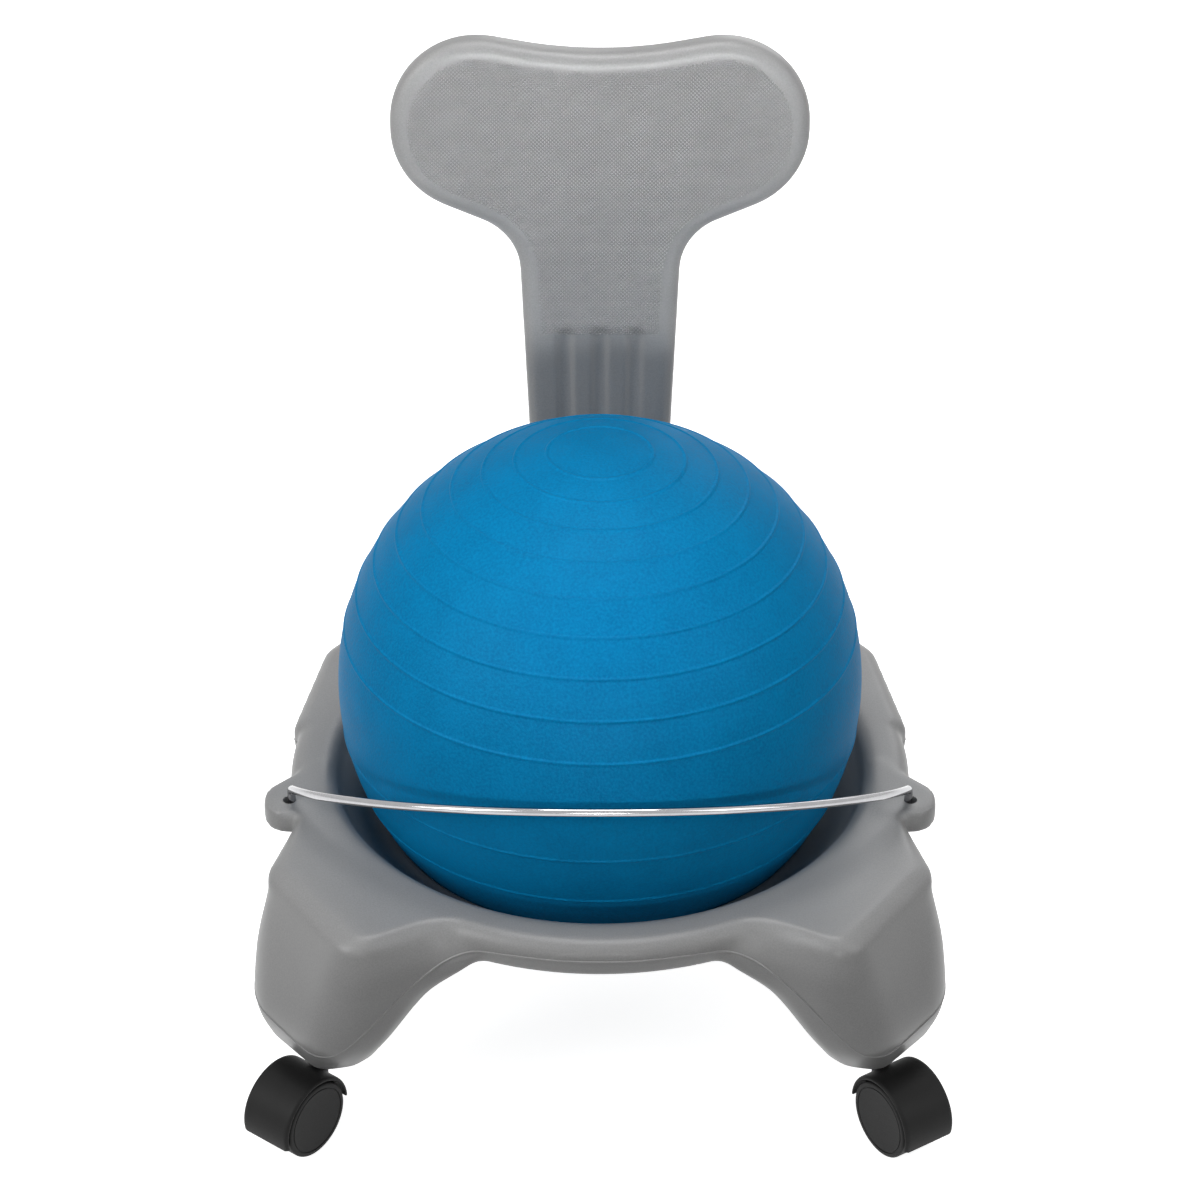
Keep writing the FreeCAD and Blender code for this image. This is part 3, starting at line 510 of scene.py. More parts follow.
def legSolid(sections, side, front):
    # a leg through its sections, mirrored by the signs of side and front
    heights = np.array([level[0] for level in legLevels.values()], float)
    corners = []
    for name, (height, outer, hollow, inner) in legLevels.items():
        rounding = (outer, outer, hollow, inner, inner, inner)
        corners.append([(side * x, front * y, r) for (x, y), r in zip(sections[name], rounding)])
    corners = np.array(corners)
    spans = [np.linspace(low, high, baseSize["legSteps"]) for low, high in zip(heights, heights[1:])]
    levels = np.unique(np.concatenate(spans))
    points = []
    for level in levels:
        row = smoothBetween(corners, heights, level)
        outline = roundedOutline([tuple(c) for c in row], baseSize["cornerSteps"], baseSize["sideSteps"])
        points += [(x, y, level) for x, y in outline]
    leg = newPiece("leg", points, ringFaces(len(levels), len(points) // len(levels)), None)
    turnOutwards(leg)
    return leg


def slab(name, corners, low, high):
    # an upright block over an outline with rounded corners
    outline = roundedOutline(corners, baseSize["cornerSteps"], perSide=2)
    points = [(x, y, z) for z in (low, high) for x, y in outline]
    piece = newPiece(name, points, ringFaces(2, len(outline)), None)
    turnOutwards(piece)
    return piece


def earSolid(side):
    e = earSize
    x, y = side * e["hole"][0], -e["hole"][1]
    corners = [(x - side * e["root"], y + e["back"] + e["end"] + e["root"], e["rootRound"]),
               (x + side * e["end"], y + e["back"], e["round"]),
               (x + side * e["end"], y - e["front"], e["round"]),
               (x - side * e["root"], y - e["front"], e["rootRound"])]
    top = baseSize["deck"] + e["rise"]
    return slab("ear", corners, top - e["thickness"], top)


def pocketSolid():
    p = pocketSize
    outer = p["half"] + p["wall"]
    front = p["front"] - p["frontWall"]
    back = p["back"] + p["wall"]
    corners = [(-outer, front, p["frontRound"]), (outer, front, p["frontRound"]),
               (outer, back, p["cornerRound"]), (-outer, back, p["cornerRound"])]
    return slab("pocket", corners, p["low"], baseSize["deck"] + p["rise"])


def baseHoles():
    # the pocket's space and every bore, as one cutter
    p = pocketSize
    e = earSize
    up = (0, 0, 1)
    high = (p["half"], p["back"], baseSize["deck"] + p["openAbove"])
    holes = box("pocketSpace", (-p["half"], p["front"], p["floor"]), high)
    others = []
    for side in (-1, 1):
        middle = e["hole"][0] + e["holeRadius"] - e["barRadius"] - e["barPlay"]
        earHole = (side * middle, -e["hole"][1], e["holeFloor"])
        boltHole = (side * p["boltSide"], p["back"] - p["boltStart"], p["boltHeight"])
        others.append(rod("barHole", earHole, up, e["holeRadius"], e["holeLength"], e["holeSides"]))
        others.append(rod("boltHole", boltHole, (0, 1, 0), p["boltRadius"], p["boltLength"]))
    for x, y in stemPlaces.values():
        stemHole = (x, y, socketSize["legBottom"] - pastFace)
        others.append(rod("stemHole", stemHole, up, socketSize["radius"], socketSize["depth"] + pastFace))
    return joinInto(holes, others)


def outsideOnly(points):
    # 1 where the legs meet the rim on the outside, 0 in the bowl, on the deck, at the ears and at the bottom
    b = baseSize
    f = filletArea
    reach = np.hypot(points[:, 0], points[:, 1])
    outside = np.clip((reach - b["rimCrest"] + f["insideCrest"]) / f["crestFade"], 0, 1)
    under = np.clip((b["deck"] - f["belowDeck"] - points[:, 2]) / f["deckFade"], 0, 1)
    under = under * np.clip((points[:, 2] - f["aboveFloor"]) / f["floorFade"], 0, 1)
    ears = np.hypot(np.abs(points[:, 0]) - earSize["hole"][0], points[:, 1] + earSize["hole"][1])
    return outside * under * np.clip((ears - f["fromEar"]) / f["earFade"], 0, 1)


def firmBottom(points):
    # the legs' flat undersides give way less than the rest
    flat = np.abs(points[:, 2] - socketSize["legBottom"]) < baseSize["bottomDepth"]
    return np.where(flat, baseSize["bottomGive"], 1.0)


def buildBase():
    legs = [legSolid(frontLeg, side, -1) for side in (-1, 1)]
    legs += [legSolid(rearLeg, side, 1) for side in (-1, 1)]
    for leg in legs:
        carve(leg, bowlSpace())
    shell = rimSolid()
    joinInto(shell, legs + [earSolid(-1), earSolid(1), pocketSolid()])
    remesh(shell, baseSize["skin"])
    relax(shell, baseSize["relaxPasses"], firmBottom, baseSize["wear"])
    relax(shell, baseSize["filletPasses"], outsideOnly, baseSize["filletWear"])
    carve(shell, baseHoles())
    shell.name = "baseShell"
    return finishedSkin(shell, greyPlastic)


def finishedSkin(piece, material):
    # one material all over, smooth but for its sharp edges
    piece.data.materials.clear()
    piece.data.materials.append(material)
    piece.data.polygons.foreach_set("use_smooth", [True] * len(piece.data.polygons))
    piece.data.polygons.foreach_set("material_index", [0] * len(piece.data.polygons))
    sharpen(piece)
    return piece


baseShell = buildBase()
place(baseShell, "base", "grey_plastic", "base_shell")
print("base made,", len(baseShell.data.polygons), "faces")


# Mould line: a fine bead round the base where the halves of the mould met. Heights by angle from the front
# (or from the back, behind the middle of the chair).

mouldLineSize = {"radius": 0.9, "sunk": 0.1, "step": 0.75, "sides": 6, "rayStart": 0.35, "softened": 2,
                 "meanOver": (-3, -1.5, 0, 1.5, 3)}
frontLineHeights = {0: 194, 15: 193.5, 24.6: 190, 30.1: 173, 33.8: 149, 38.5: 110, 41.1: 97, 44.1: 94,
                    48: 100, 54.5: 107, 60: 116, 66: 146, 72: 176, 80: 190, 90: 192}
rearLineHeights = {0: 192, 20: 190, 27: 173, 31: 149, 36: 112, 40: 98, 46: 96, 52: 104, 58: 112, 64: 140,
                   70: 172, 78: 188, 90: 192}


def lineHeight(angle):
    # angle round the base from the front, in degrees; a mean over several places rounds the line's corners
    fromFront = abs((angle + 180) % 360 - 180)
    heights = frontLineHeights if fromFront <= 90 else rearLineHeights
    turned = fromFront if fromFront <= 90 else 180 - fromFront
    near = [turned + offset for offset in mouldLineSize["meanOver"]]
    return float(np.mean(np.interp(np.abs(near), list(heights), list(heights.values()))))


def mouldLine(shell):
    # found by rays from outside the base towards its axis
    m = mouldLineSize
    tree = BVHTree.FromObject(shell, bpy.context.evaluated_depsgraph_get())
    path = []
    for angle in np.arange(0, 360, m["step"]):
        turn = math.radians(angle)
        out = Vector((math.sin(turn), -math.cos(turn), 0))
        start = out * m["rayStart"] + Vector((0, 0, lineHeight(angle) * mm))
        hit, normal = tree.ray_cast(start, -out)[:2]
        path.append((hit - normal * m["sunk"] * mm) / mm)
    count = len(path)
    for again in range(m["softened"]):
        path = [(path[i - 1] + path[i] * 2 + path[(i + 1) % count]) / 4 for i in range(count)]
    sides = m["sides"]
    points = []
    for i, point in enumerate(path):
        along = (path[(i + 1) % count] - path[i - 1]).normalized()
        right = along.cross(Vector((0, 0, 1))).normalized()
        up = right.cross(along)
        for j in range(sides):
            angle = 2 * math.pi * j / sides
            points.append(point + (right * math.cos(angle) + up * math.sin(angle)) * m["radius"])
    faces = [(i * sides + j, i * sides + (j + 1) % sides, (i + 1) % count * sides + (j + 1) % sides,
              (i + 1) % count * sides + j) for i in range(count) for j in range(sides)]
    line = newPiece("mouldLine", points, faces, greyPlastic)
    turnOutwards(line)
    return line


place(mouldLine(baseShell), "base", "grey_plastic")
print("mould line made")


# Backrest: a slab made flat, then bent back with all that is on it. Heights are measured along the flat slab.

backSize = {
    "face": 204, "thickness": 26, "lean": 5.7, "bendHeight": 345, "bendRadius": 420,
    "edgeWide": 11.5, "edgeDeep": 9.5, "edgeSteps": 8, "cornerSteps": 28, "sideSteps": 30,
    "skin": 1.85, "relaxPasses": 4,
    # sideways, up and rounding, from the middle of the top edge down the right side
    "corners": [(0, 654.7, 320), (153.5, 682.3, 64), (153.5, 557.7, 64), (60.5, 518, 45), (44.3, 152, 12)],
    "fluteRadius": 8, "fluteDepth": 3.8, "fluteTop": (26.4, 439), "fluteBottom": (24.1, 300.4),
    "fluteSoft": 0.9, "fluteCrisp": 3, "fluteLeast": 0.02, "fluteFade": 6,
    "nutAcross": 11.7, "nutDepth": 18.2, "nutSpace": 40, "boltSide": 24, "boltHeight": 178,
}
gripSize = {"across": 2.8, "up": 1.45, "inset": 13.2, "bottom": 441, "top": 690, "eachSide": 56, "sunk": 0.08,
            "studWidth": 2.0, "studTop": 0.35, "studHeight": 0.85}


def backCorners():
    right = backSize["corners"][1:]
    return [backSize["corners"][0]] + right + [(-x, z, r) for x, z, r in reversed(right)]


def bendBack(points):
    # points as (x, depth behind the front face, height along the slab), in mm
    b = backSize
    lean = math.radians(b["lean"])
    start = b["bendHeight"] - b["bendRadius"] * math.tan(lean / 2)
    turn = np.clip((points[:, 2] - start) / b["bendRadius"], 0, lean)
    beyond = points[:, 2] - start - turn * b["bendRadius"]
    reach = b["bendRadius"] - points[:, 1]
    y = b["face"] + b["bendRadius"] - reach * np.cos(turn) + beyond * np.sin(turn)
    z = start + reach * np.sin(turn) + beyond * np.cos(turn)
    return np.stack([points[:, 0], y, z], 1)


def changePoints(piece, change):
    # runs the piece's points, in mm, through a function
    points = np.zeros(len(piece.data.vertices) * 3)
    piece.data.vertices.foreach_get("co", points)
    points = change(points.reshape(-1, 3) / mm) * mm
    piece.data.vertices.foreach_set("co", points.ravel())
    piece.data.update()


def cutFlutes(points):
    # presses three flutes into the flat slab's front; fluteSoft rounds their rims
    b = backSize
    deep = np.zeros(len(points))
    for number in (-1, 0, 1):
        low = np.array([number * b["fluteBottom"][0], b["fluteBottom"][1]])
        high = np.array([number * b["fluteTop"][0], b["fluteTop"][1]])
        along = high - low
        t = np.clip(((points[:, [0, 2]] - low) @ along) / (along @ along), 0, 1)
        off = np.linalg.norm(points[:, [0, 2]] - low - t[:, None] * along, axis=1)
        floor = b["fluteRadius"] - b["fluteDepth"]
        cut = np.sqrt(np.maximum(b["fluteRadius"] ** 2 - off ** 2, 0)) - floor
        soft = b["fluteSoft"]
        crisp = b["fluteCrisp"]
        share = np.clip(cut / soft * crisp, -30, 30)  # the limits keep extreme values from the exponential
        deep = np.maximum(deep, soft * np.log1p(np.exp(share)) / crisp)
    front = np.clip(1 - points[:, 1] / b["fluteFade"], 0, 1)
    moved = points.copy()
    moved[:, 1] += deep * front * (deep > b["fluteLeast"])
    return moved


def hexHole(x, start):
    # a hexagonal hole along +Y
    reach = backSize["nutAcross"] / math.sqrt(3)
    turns = [math.radians(60 * i) for i in range(6)]
    points = [(x + reach * math.cos(turn), y, backSize["boltHeight"] + reach * math.sin(turn))
              for y in (start, start + backSize["nutSpace"]) for turn in turns]
    hole = newPiece("hexHole", points, ringFaces(2, 6), None)
    turnOutwards(hole)
    return hole


def buildBackrest():
    b = backSize
    outline = roundedOutline(backCorners(), b["cornerSteps"], b["sideSteps"])
    inwards = -normals2d(outline)
    if Vector(inwards[0]).dot(Vector((0, -1))) < 0:
        inwards = -inwards
    points = []
    levels = []
    for k in range(b["edgeSteps"] + 1):
        turn = math.pi / 2 * k / b["edgeSteps"]
        levels.append((b["edgeWide"] * (1 - math.sin(turn)), b["edgeDeep"] * (1 - math.cos(turn))))
    levels += [(inset, b["thickness"] - depth) for inset, depth in reversed(levels)]
    for inset, depth in levels:
        points += [(x, depth, z) for x, z in outline + inwards * inset]
    back = newPiece("backrest_skin", points, ringFaces(len(levels), len(outline)), None)
    turnOutwards(back)
    remesh(back, b["skin"])
    relax(back, b["relaxPasses"], everywhere)
    changePoints(back, cutFlutes)
    relax(back, 1, everywhere)
    for side in (-1, 1):
        carve(back, hexHole(side * b["boltSide"], b["thickness"] - b["nutDepth"]))
    changePoints(back, bendBack)
    return finishedSkin(back, greyPlastic)


def gripPlaces():
    # lattice of studs inside the paddle's outline, on the flat slab
    outline = roundedOutline(backCorners(), perCorner=16, perSide=12)
    g = gripSize
    ahead = np.roll(outline, -1, axis=0) - outline
    places = []
    row = 0
    z = g["bottom"]
    while z < g["top"]:
        shift = g["across"] / 2 * (row % 2)
        for x in np.arange(-g["eachSide"], g["eachSide"] + 1) * g["across"] + shift:
            offset = np.array([x, z]) - outline
            t = np.clip((offset * ahead).sum(1) / (ahead * ahead).sum(1), 0, 1)
            nearest = np.linalg.norm(offset - t[:, None] * ahead, axis=1).min()
            crossings = (outline[:, 1] > z) != (np.roll(outline, -1, axis=0)[:, 1] > z)
            climb = np.where(ahead[:, 1] == 0, 1, ahead[:, 1])
            across = outline[:, 0] + (z - outline[:, 1]) * ahead[:, 0] / climb
            inside = np.count_nonzero(crossings & (across > x)) % 2
            if inside and nearest > g["inset"]:
                places.append((x, g["sunk"], z))
        row += 1
        z += g["up"]
    return np.array(places)


def studTree():
    # a stud on each point, in the size that the inputs give
    tree = bpy.data.node_groups.new("gripStuds", "GeometryNodeTree")
    tree.interface.new_socket("Geometry", in_out="INPUT", socket_type="NodeSocketGeometry")
    width = tree.interface.new_socket("Stud width", in_out="INPUT", socket_type="NodeSocketFloat")
    top = tree.interface.new_socket("Stud top", in_out="INPUT", socket_type="NodeSocketFloat")
    height = tree.interface.new_socket("Stud height", in_out="INPUT", socket_type="NodeSocketFloat")
    lean = tree.interface.new_socket("Stud lean", in_out="INPUT", socket_type="NodeSocketFloat")
    tree.interface.new_socket("Geometry", in_out="OUTPUT", socket_type="NodeSocketGeometry")
    source = tree.nodes.new("NodeGroupInput")
    result = tree.nodes.new("NodeGroupOutput")
    stud = tree.nodes.new("GeometryNodeMeshCone")
    stud.inputs["Vertices"].default_value = 4
    onPoints = tree.nodes.new("GeometryNodeInstanceOnPoints")
    turn = tree.nodes.new("ShaderNodeCombineXYZ")
    realize = tree.nodes.new("GeometryNodeRealizeInstances")
    coat = tree.nodes.new("GeometryNodeSetMaterial")
    coat.inputs["Material"].default_value = greyPlastic
    link = tree.links.new
    link(source.outputs["Stud width"], stud.inputs["Radius Bottom"])
    link(source.outputs["Stud top"], stud.inputs["Radius Top"])
    link(source.outputs["Stud height"], stud.inputs["Depth"])
    link(source.outputs["Stud lean"], turn.inputs["X"])
    link(source.outputs["Geometry"], onPoints.inputs["Points"])
    link(stud.outputs["Mesh"], onPoints.inputs["Instance"])
    link(turn.outputs["Vector"], onPoints.inputs["Rotation"])
    link(onPoints.outputs["Instances"], realize.inputs["Geometry"])
    link(realize.outputs["Geometry"], coat.inputs["Geometry"])
    link(coat.outputs["Geometry"], result.inputs["Geometry"])
    return tree, {width: gripSize["studWidth"] / 2 * mm, top: gripSize["studTop"] / 2 * mm,
                  height: gripSize["studHeight"] * mm, lean: math.radians(90 - backSize["lean"])}


def backrestGrip():
    places = bendBack(gripPlaces())
    grip = newPiece("backrestGrip", places, [], greyPlastic)
    modifier = grip.modifiers.new("studs", "NODES")
    tree, values = studTree()
    modifier.node_group = tree
    for socket, value in values.items():
        modifier[socket.identifier] = value
    evaluated(grip)
    return grip


backrest = buildBackrest()
place(backrest, "base", "grey_plastic", "backrest")
grip = backrestGrip()
place(grip, "base", "grey_plastic")
print("backrest made,", len(backrest.data.polygons), "faces, grip", len(grip.data.polygons))


# Ball with raised rings, turned a little to the back.

ballSize = {"radius": 190, "centre": 277, "tilt": 2, "ringHeight": 0.8, "ringWidth": 3.4, "steps": 192,
            "rings": 9, "firstRing": 11.4, "pitch": 7, "spread": 0.135, "run": 2.5,
            "lowRings": 5, "firstLowRing": 100.1, "lowPitch": 13.4, "ringSteps": 8, "ringFoot": 1.4,
            "ringShape": 1.5, "plugRadius": 4.06, "plugDepth": 21, "plugSpace": 3,
            "seatBand": (118, 122, 136, 140)}


def ballRings():
    # angles from the upper pole to the rings; a wide band round the equator has none
    b = ballSize
    upper = [b["firstRing"] + b["pitch"] * i + b["spread"] * i ** 2 for i in range(b["rings"])]
    return upper + [b["firstLowRing"] + b["lowPitch"] * i for i in range(b["lowRings"])]


def buildBall():
    # the profile is a list of (angle from the upper pole, share of a ring's height), turned round
    b = ballSize
    steps = b["ringSteps"]
    half = math.degrees(b["ringWidth"] / 2 / b["radius"])
    places = [(0, 0)]
    for ring in ballRings() + [180 + half]:
        gap = ring - half * b["ringFoot"] - places[-1][0]
        count = max(1, round(gap / b["run"]))
        places += [(places[-1][0] + gap * k / count, 0) for k in range(1, count + 1)]
        if ring < 180:
            for k in range(steps + 1):
                rise = math.sin(math.pi * k / steps) ** b["ringShape"]
                places.append((ring - half + 2 * half * k / steps, rise))
            places.append((ring + half * b["ringFoot"], 0))
    profile = []
    for angle, rise in places:
        # pressed into the seat, the skin lies as high as its rings
        rise = max(rise, float(np.interp(angle, b["seatBand"], (0, 1, 1, 0))))
        reach = b["radius"] - b["ringHeight"] * (1 - rise)
        profile.append((reach * math.sin(math.radians(angle)), reach * math.cos(math.radians(angle))))
    profile[0] = (0, profile[0][1])
    profile[-1] = (0, profile[-1][1])
    points, faces = closedLathe(profile, b["steps"])
    tilt = Matrix.Rotation(-math.radians(b["tilt"]), 3, "X")
    centre = Vector((0, 0, b["centre"]))
    ball = newPiece("ballSkin", [tilt @ Vector(p) + centre for p in points], faces, None)
    turnOutwards(ball)
    floor = b["centre"] - b["radius"] - b["plugSpace"]
    length = b["plugDepth"] + b["plugSpace"]
    carve(ball, rod("plugHole", (0, 0, floor), (0, 0, 1), b["plugRadius"], length))
    return finishedSkin(ball, ballVinyl)


ball = buildBall()
place(ball, "ball", "blue_vinyl", "ball")
print("ball made,", len(ball.data.polygons), "faces")


# Support bar: a bow in front of the ball, bent down at both ends and then straight into the ears.

barSize = {"radius": 3, "front": (197, 300), "end": (221, 61, 220), "foot": (222.54, 57.13, 212.98),
           "tail": 15, "tailSteps": 3, "endRound": 1, "bendReach": 0.4, "bendSteps": 8, "steps": 96,
           "sides": 24, "crisp": 60}


def supportBar():
    b = barSize
    ends = [(side * b["end"][0], -b["end"][1], b["end"][2]) for side in (-1, 1)]
    bow = arcThrough(ends[0], (0, -b["front"][0], b["front"][1]), ends[1], b["steps"])
    path = list(bow)
    for side in (-1, 1):
        foot = Vector((side * b["foot"][0], -b["foot"][1], b["foot"][2]))
        end, before = (path[0], path[1]) if side < 0 else (path[-1], path[-2])
        leave = (end - before).normalized()
        down = Vector((0, 0, -1))
        reach = (end - foot).length * b["bendReach"]
        bend = []
        for k in range(1, b["bendSteps"] + 1):
            t = k / b["bendSteps"]
            a = end + leave * reach
            c = foot - down * reach
            bend.append(end * (1 - t) ** 3 + a * 3 * t * (1 - t) ** 2
                        + c * 3 * t * t * (1 - t) + foot * t ** 3)
        tail = [foot + down * b["tail"] * k / b["tailSteps"] for k in range(1, b["tailSteps"])]
        tail.append(foot + down * (b["tail"] - b["endRound"]))
        path = (bend + tail)[::-1] + path if side < 0 else path + bend + tail
    points, faces = tube(path, b["radius"], b["sides"])
    bar = newPiece("supportBar", points, faces, chrome)
    turnOutwards(bar)
    sharpen(bar, b["crisp"])
    return bar


place(supportBar(), "bar", "chromed_steel", "support_bar")
print("bar made")


# Casters. A caster is made about its axle's middle: x along the axle, y towards the stem, z up.

casterSize = {
    "hoodRadius": 33.8, "hoodWall": 3.1, "hoodHalf": 21.2, "hoodRound": 2.7, "hoodLip": 0.5, "hoodLow": -14,
    "hoodHigh": 177, "webHalf": 2.5, "hubRadius": 7, "hubHalf": 6.2, "bossRadius": 6.2, "bossBottom": 1,
    "bossTop": 35, "trail": 27, "stemBore": 5.06, "stemFloor": 5.9, "axleBore": 3.06, "skin": 0.8,
    "relaxPasses": 2, "wheelRadius": 29, "wheelInner": 6.5, "wheelOuter": 20.5, "wheelRound": 1.5,
    "roundTurns": (0, 22, 45, 67, 90), "boreEnd": 15.3, "discRadius": 24.5, "grooveEdges": (1.1, 0.8, 0.2),
    "grooveDeep": 0.55, "discSunk": 0.1, "discDish": 0.35, "discSteps": 6, "webStart": 1, "webSunk": 1,
    "boreLength": 40, "steps": 96, "rodSides": 48, "axleSides": 32, "axleHeight": 29,
}
casterTurns = {"front_left": -38, "front_right": 33.5, "rear_left": -142, "rear_right": 142}


def sector(name, profile, low, high, steps):
    # sweeps a closed profile of (along the axle, distance from it); at angle 0 it is opposite the stem
    points = []
    for i in range(steps + 1):
        angle = math.radians(low + (high - low) * i / steps)
        points += [(x, -r * math.cos(angle), r * math.sin(angle)) for x, r in profile]
    piece = newPiece(name, points, ringFaces(steps + 1, len(profile)), None)
    turnOutwards(piece)
    return piece


def casterHood():
    # a curved cover over both wheels, a web between them, a hub for the axle and a boss for the stem
    c = casterSize
    inside = c["hoodRadius"] - c["hoodWall"]
    half = c["hoodHalf"]
    sides = c["rodSides"]
    outside = c["hoodRadius"]
    wall = roundedOutline([(-half, inside, c["hoodLip"]), (half, inside, c["hoodLip"]),
                           (half, outside, c["hoodRound"]), (-half, outside, c["hoodRound"])],
                          perCorner=6, perSide=8)
    webLow, webHigh = c["webStart"], inside + c["webSunk"]
    web = [(-c["webHalf"], webLow), (c["webHalf"], webLow), (c["webHalf"], webHigh), (-c["webHalf"], webHigh)]
    hood = sector("hood", [tuple(p) for p in wall], c["hoodLow"], c["hoodHigh"], c["steps"])
    middle = sector("web", web, c["hoodLow"], c["hoodHigh"], c["steps"])
    hub = rod("hub", (-c["hubHalf"], 0, 0), (1, 0, 0), c["hubRadius"], 2 * c["hubHalf"], sides)
    bossLow = (0, c["trail"], c["bossBottom"])
    boss = rod("boss", bossLow, (0, 0, 1), c["bossRadius"], c["bossTop"] - c["bossBottom"], sides)
    joinInto(hood, [middle, hub, boss])
    remesh(hood, c["skin"])
    relax(hood, c["relaxPasses"], everywhere)
    length = c["boreLength"]
    bore = rod("bore", (0, c["trail"], c["stemFloor"]), (0, 0, 1), c["stemBore"], length, sides)
    joinInto(bore, [rod("axleBore", (-length / 2, 0, 0), (1, 0, 0), c["axleBore"], length, c["axleSides"])])
    carve(hood, bore)
    return finishedSkin(hood, blackPlastic)


def casterWheel(side):
    # distances from the axle and from the caster's middle: bore, tread, groove, and a disc dished a little
    c = casterSize
    inner = c["wheelInner"]
    outer = c["wheelOuter"]
    bend = c["wheelRound"]
    tread = c["wheelRadius"] - bend
    disc = c["discRadius"]
    face = outer - c["discSunk"]
    groove = outer - c["grooveDeep"]
    turns = [math.radians(a) for a in c["roundTurns"]]
    profile = [(0, c["boreEnd"]), (c["axleBore"], c["boreEnd"]), (c["axleBore"], inner)]
    profile += [(tread + bend * math.sin(a), inner + bend - bend * math.cos(a)) for a in turns]
    profile += [(tread + bend * math.cos(a), outer - bend + bend * math.sin(a)) for a in turns]
    edge, far, near = c["grooveEdges"]
    profile += [(disc + edge, outer), (disc + far, groove), (disc + near, groove), (disc, face)]
    for k in range(c["discSteps"] - 1, -1, -1):
        share = k / c["discSteps"]
        profile.append((disc * k / c["discSteps"], face - c["discDish"] * (1 - share ** 2)))
    points, faces = closedLathe([(r, side * x) for r, x in profile], c["steps"], "x")
    wheel = newPiece("wheel", points, faces, None)
    turnOutwards(wheel)
    return finishedSkin(wheel, blackPlastic)


def copyTo(piece, name, where):
    copied = finished(name, piece.data.copy(), piece.data.materials[0])
    copied.data.transform(where)
    return copied


hood = casterHood()
wheels = {"left": casterWheel(-1), "right": casterWheel(1)}
for corner, turn in casterTurns.items():
    stem = Vector((*stemPlaces[corner], casterSize["axleHeight"])) * mm
    around = Matrix.Rotation(math.radians(turn), 4, "Z")
    where = Matrix.Translation(stem) @ around @ Matrix.Translation((0, -casterSize["trail"] * mm, 0))
    place(copyTo(hood, corner + "_cover", where), corner + "_caster", "black_plastic", corner + "_hood")
    for side, wheel in wheels.items():
        place(copyTo(wheel, f"{corner}_{side}_tyre", where), f"{corner}_{side}_wheel", "black_plastic",
              f"{corner}_wheel_{side}")
for piece in (hood, *wheels.values()):
    bpy.data.objects.remove(piece)
print("casters made")


# Every CAD node gets a finish. It shows on those that no piece above replaces.

for name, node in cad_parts.items():
    if name == "ball_plug":
        finish = whitePlastic
    elif name.endswith("sockets"):
        finish = blackPlastic
    else:
        finish = steel
    node.data.materials.clear()
    node.data.materials.append(finish)


# Camera, floor and light

viewSize = {"lens": 118, "sensor": 36, "distance": 2850, "elevation": 34.5, "pitch": 33.39}


def makeCamera():
    camera = bpy.data.objects.new("camera", bpy.data.cameras.new("camera"))
    bpy.context.scene.collection.objects.link(camera)
    camera.data.lens = viewSize["lens"]
    camera.data.sensor_width = viewSize["sensor"]
    camera.data.clip_end = 20
    high = math.radians(viewSize["elevation"])
    camera.location = Vector((0, -math.cos(high), math.sin(high))) * viewSize["distance"] * mm
    camera.location.z += ballSize["centre"] * mm
    camera.rotation_euler = Matrix.Rotation(math.radians(90 - viewSize["pitch"]), 4, "X").to_euler()
    bpy.context.scene.camera = camera


def seenWhite(tree, lit, plain, result):
    # what the camera and mirrors see is white, and what lights the chair is softer
    path = tree.nodes.new("ShaderNodeLightPath")
    seen = path.outputs["Is Camera Ray"]
    for ray in ("Is Glossy Ray", "Is Transmission Ray"):
        either = tree.nodes.new("ShaderNodeMath")
        either.operation = "MAXIMUM"
        tree.links.new(seen, either.inputs[0])
        tree.links.new(path.outputs[ray], either.inputs[1])
        seen = either.outputs[0]
    mix = tree.nodes.new("ShaderNodeMixShader")
    tree.links.new(seen, mix.inputs[0])
    tree.links.new(lit, mix.inputs[1])
    tree.links.new(plain, mix.inputs[2])
    tree.links.new(mix.outputs[0], result)


def makeWorld():
    world = bpy.data.worlds.new("studio")
    bpy.context.scene.world = world
    world.use_nodes = True
    tree = world.node_tree
    lit = tree.nodes["Background"]
    lit.inputs["Color"].default_value = (*roomLight["colour"], 1)
    lit.inputs["Strength"].default_value = roomLight["strength"]
    plain = tree.nodes.new("ShaderNodeBackground")
    plain.inputs["Color"].default_value = (1, 1, 1, 1)
    seenWhite(tree, lit.outputs[0], plain.outputs[0], tree.nodes["World Output"].inputs["Surface"])


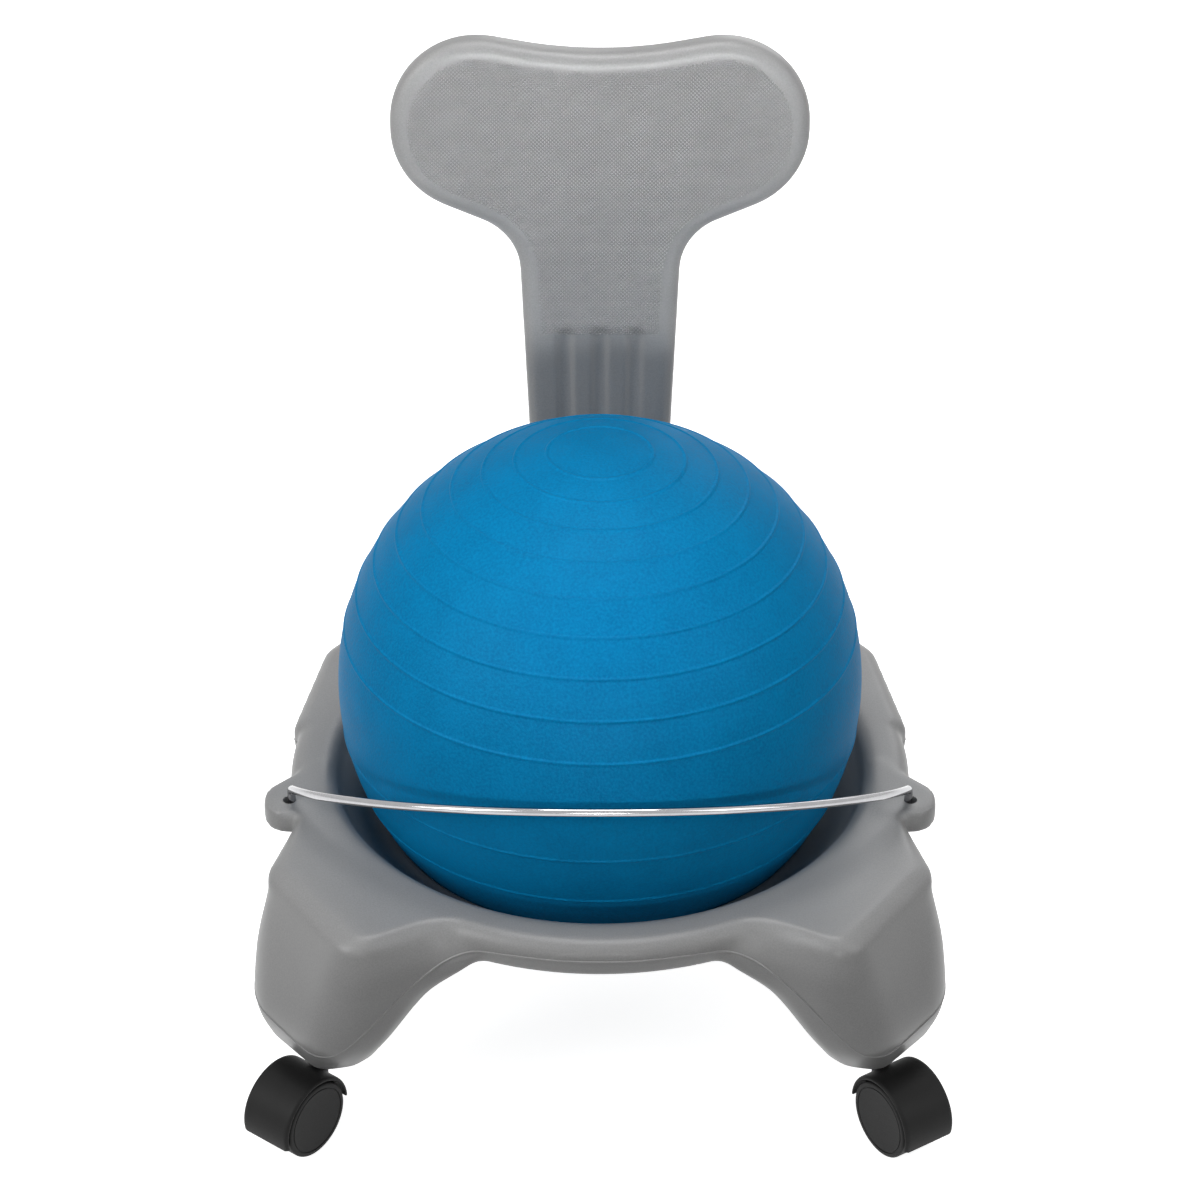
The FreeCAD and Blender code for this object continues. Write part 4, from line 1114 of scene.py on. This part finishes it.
def makeFloor():
    # the floor that is seen is white with a soft shadow; the light it throws back up is that of a grey one
    half = floorLook["half"]
    corners = ((-half, -half), (half, -half), (half, half), (-half, half))
    points = [(x, y, -floorLook["below"]) for x, y in corners]
    material = bpy.data.materials.new("floor")
    material.use_nodes = True
    tree = material.node_tree
    tree.nodes.clear()
    grey = tree.nodes.new("ShaderNodeBsdfDiffuse")
    grey.inputs["Color"].default_value = (*[floorLook["bounce"]] * 3, 1)
    matt = tree.nodes.new("ShaderNodeBsdfDiffuse")
    matt.inputs["Color"].default_value = (*[floorLook["colour"]] * 3, 1)
    glow = tree.nodes.new("ShaderNodeEmission")
    glow.inputs["Color"].default_value = (*[floorLook["glow"]] * 3, 1)
    white = tree.nodes.new("ShaderNodeAddShader")
    output = tree.nodes.new("ShaderNodeOutputMaterial")
    tree.links.new(matt.outputs[0], white.inputs[0])
    tree.links.new(glow.outputs[0], white.inputs[1])
    seenWhite(tree, grey.outputs[0], white.outputs[0], output.inputs["Surface"])
    newPiece("floor", points, [(0, 1, 2, 3)], material)


def makeLamp(name, place, target, size, power, spread=180):
    lamp = bpy.data.lights.new(name, "AREA")
    lamp.shape = "RECTANGLE"
    lamp.size, lamp.size_y = size
    lamp.energy = power
    lamp.spread = math.radians(spread)
    lampObject = bpy.data.objects.new(name, lamp)
    bpy.context.scene.collection.objects.link(lampObject)
    lampObject.location = place
    lampObject.rotation_euler = (Vector(target) - Vector(place)).to_track_quat("-Z", "Y").to_euler()


roomLight = {"colour": (1, 1, 1), "strength": 0.07}
floorLook = {"half": 9000, "below": 0.05, "bounce": 0.1, "colour": 0.95, "glow": 0.88}
lamps = {
    "topLamp": {"place": (0, 0.05, 2.5), "target": (0, 0, 0.3), "size": (1.2, 0.6), "power": 23},
    "leftLamp": {"place": (-1.9, -1.2, 1.6), "target": (0, 0, 0.3), "size": (1.4, 1.4), "power": 31},
    "rightLamp": {"place": (1.9, -1.2, 1.6), "target": (0, 0, 0.3), "size": (1.4, 1.4), "power": 14},
    "frontLamp": {"place": (0, -2.6, 0.9), "target": (0, 0.22, 0.7), "size": (1.2, 0.5), "power": 2,
                  "spread": 26},
    "backLamp": {"place": (0.8, 2.4, 1.5), "target": (0, 0, 0.4), "size": (1.6, 1.6), "power": 14},
}
makeCamera()
makeWorld()
makeFloor()
for name, lamp in lamps.items():
    makeLamp(name, **lamp)
bpy.context.scene.view_settings.view_transform = "Standard"
print("camera and light ready")
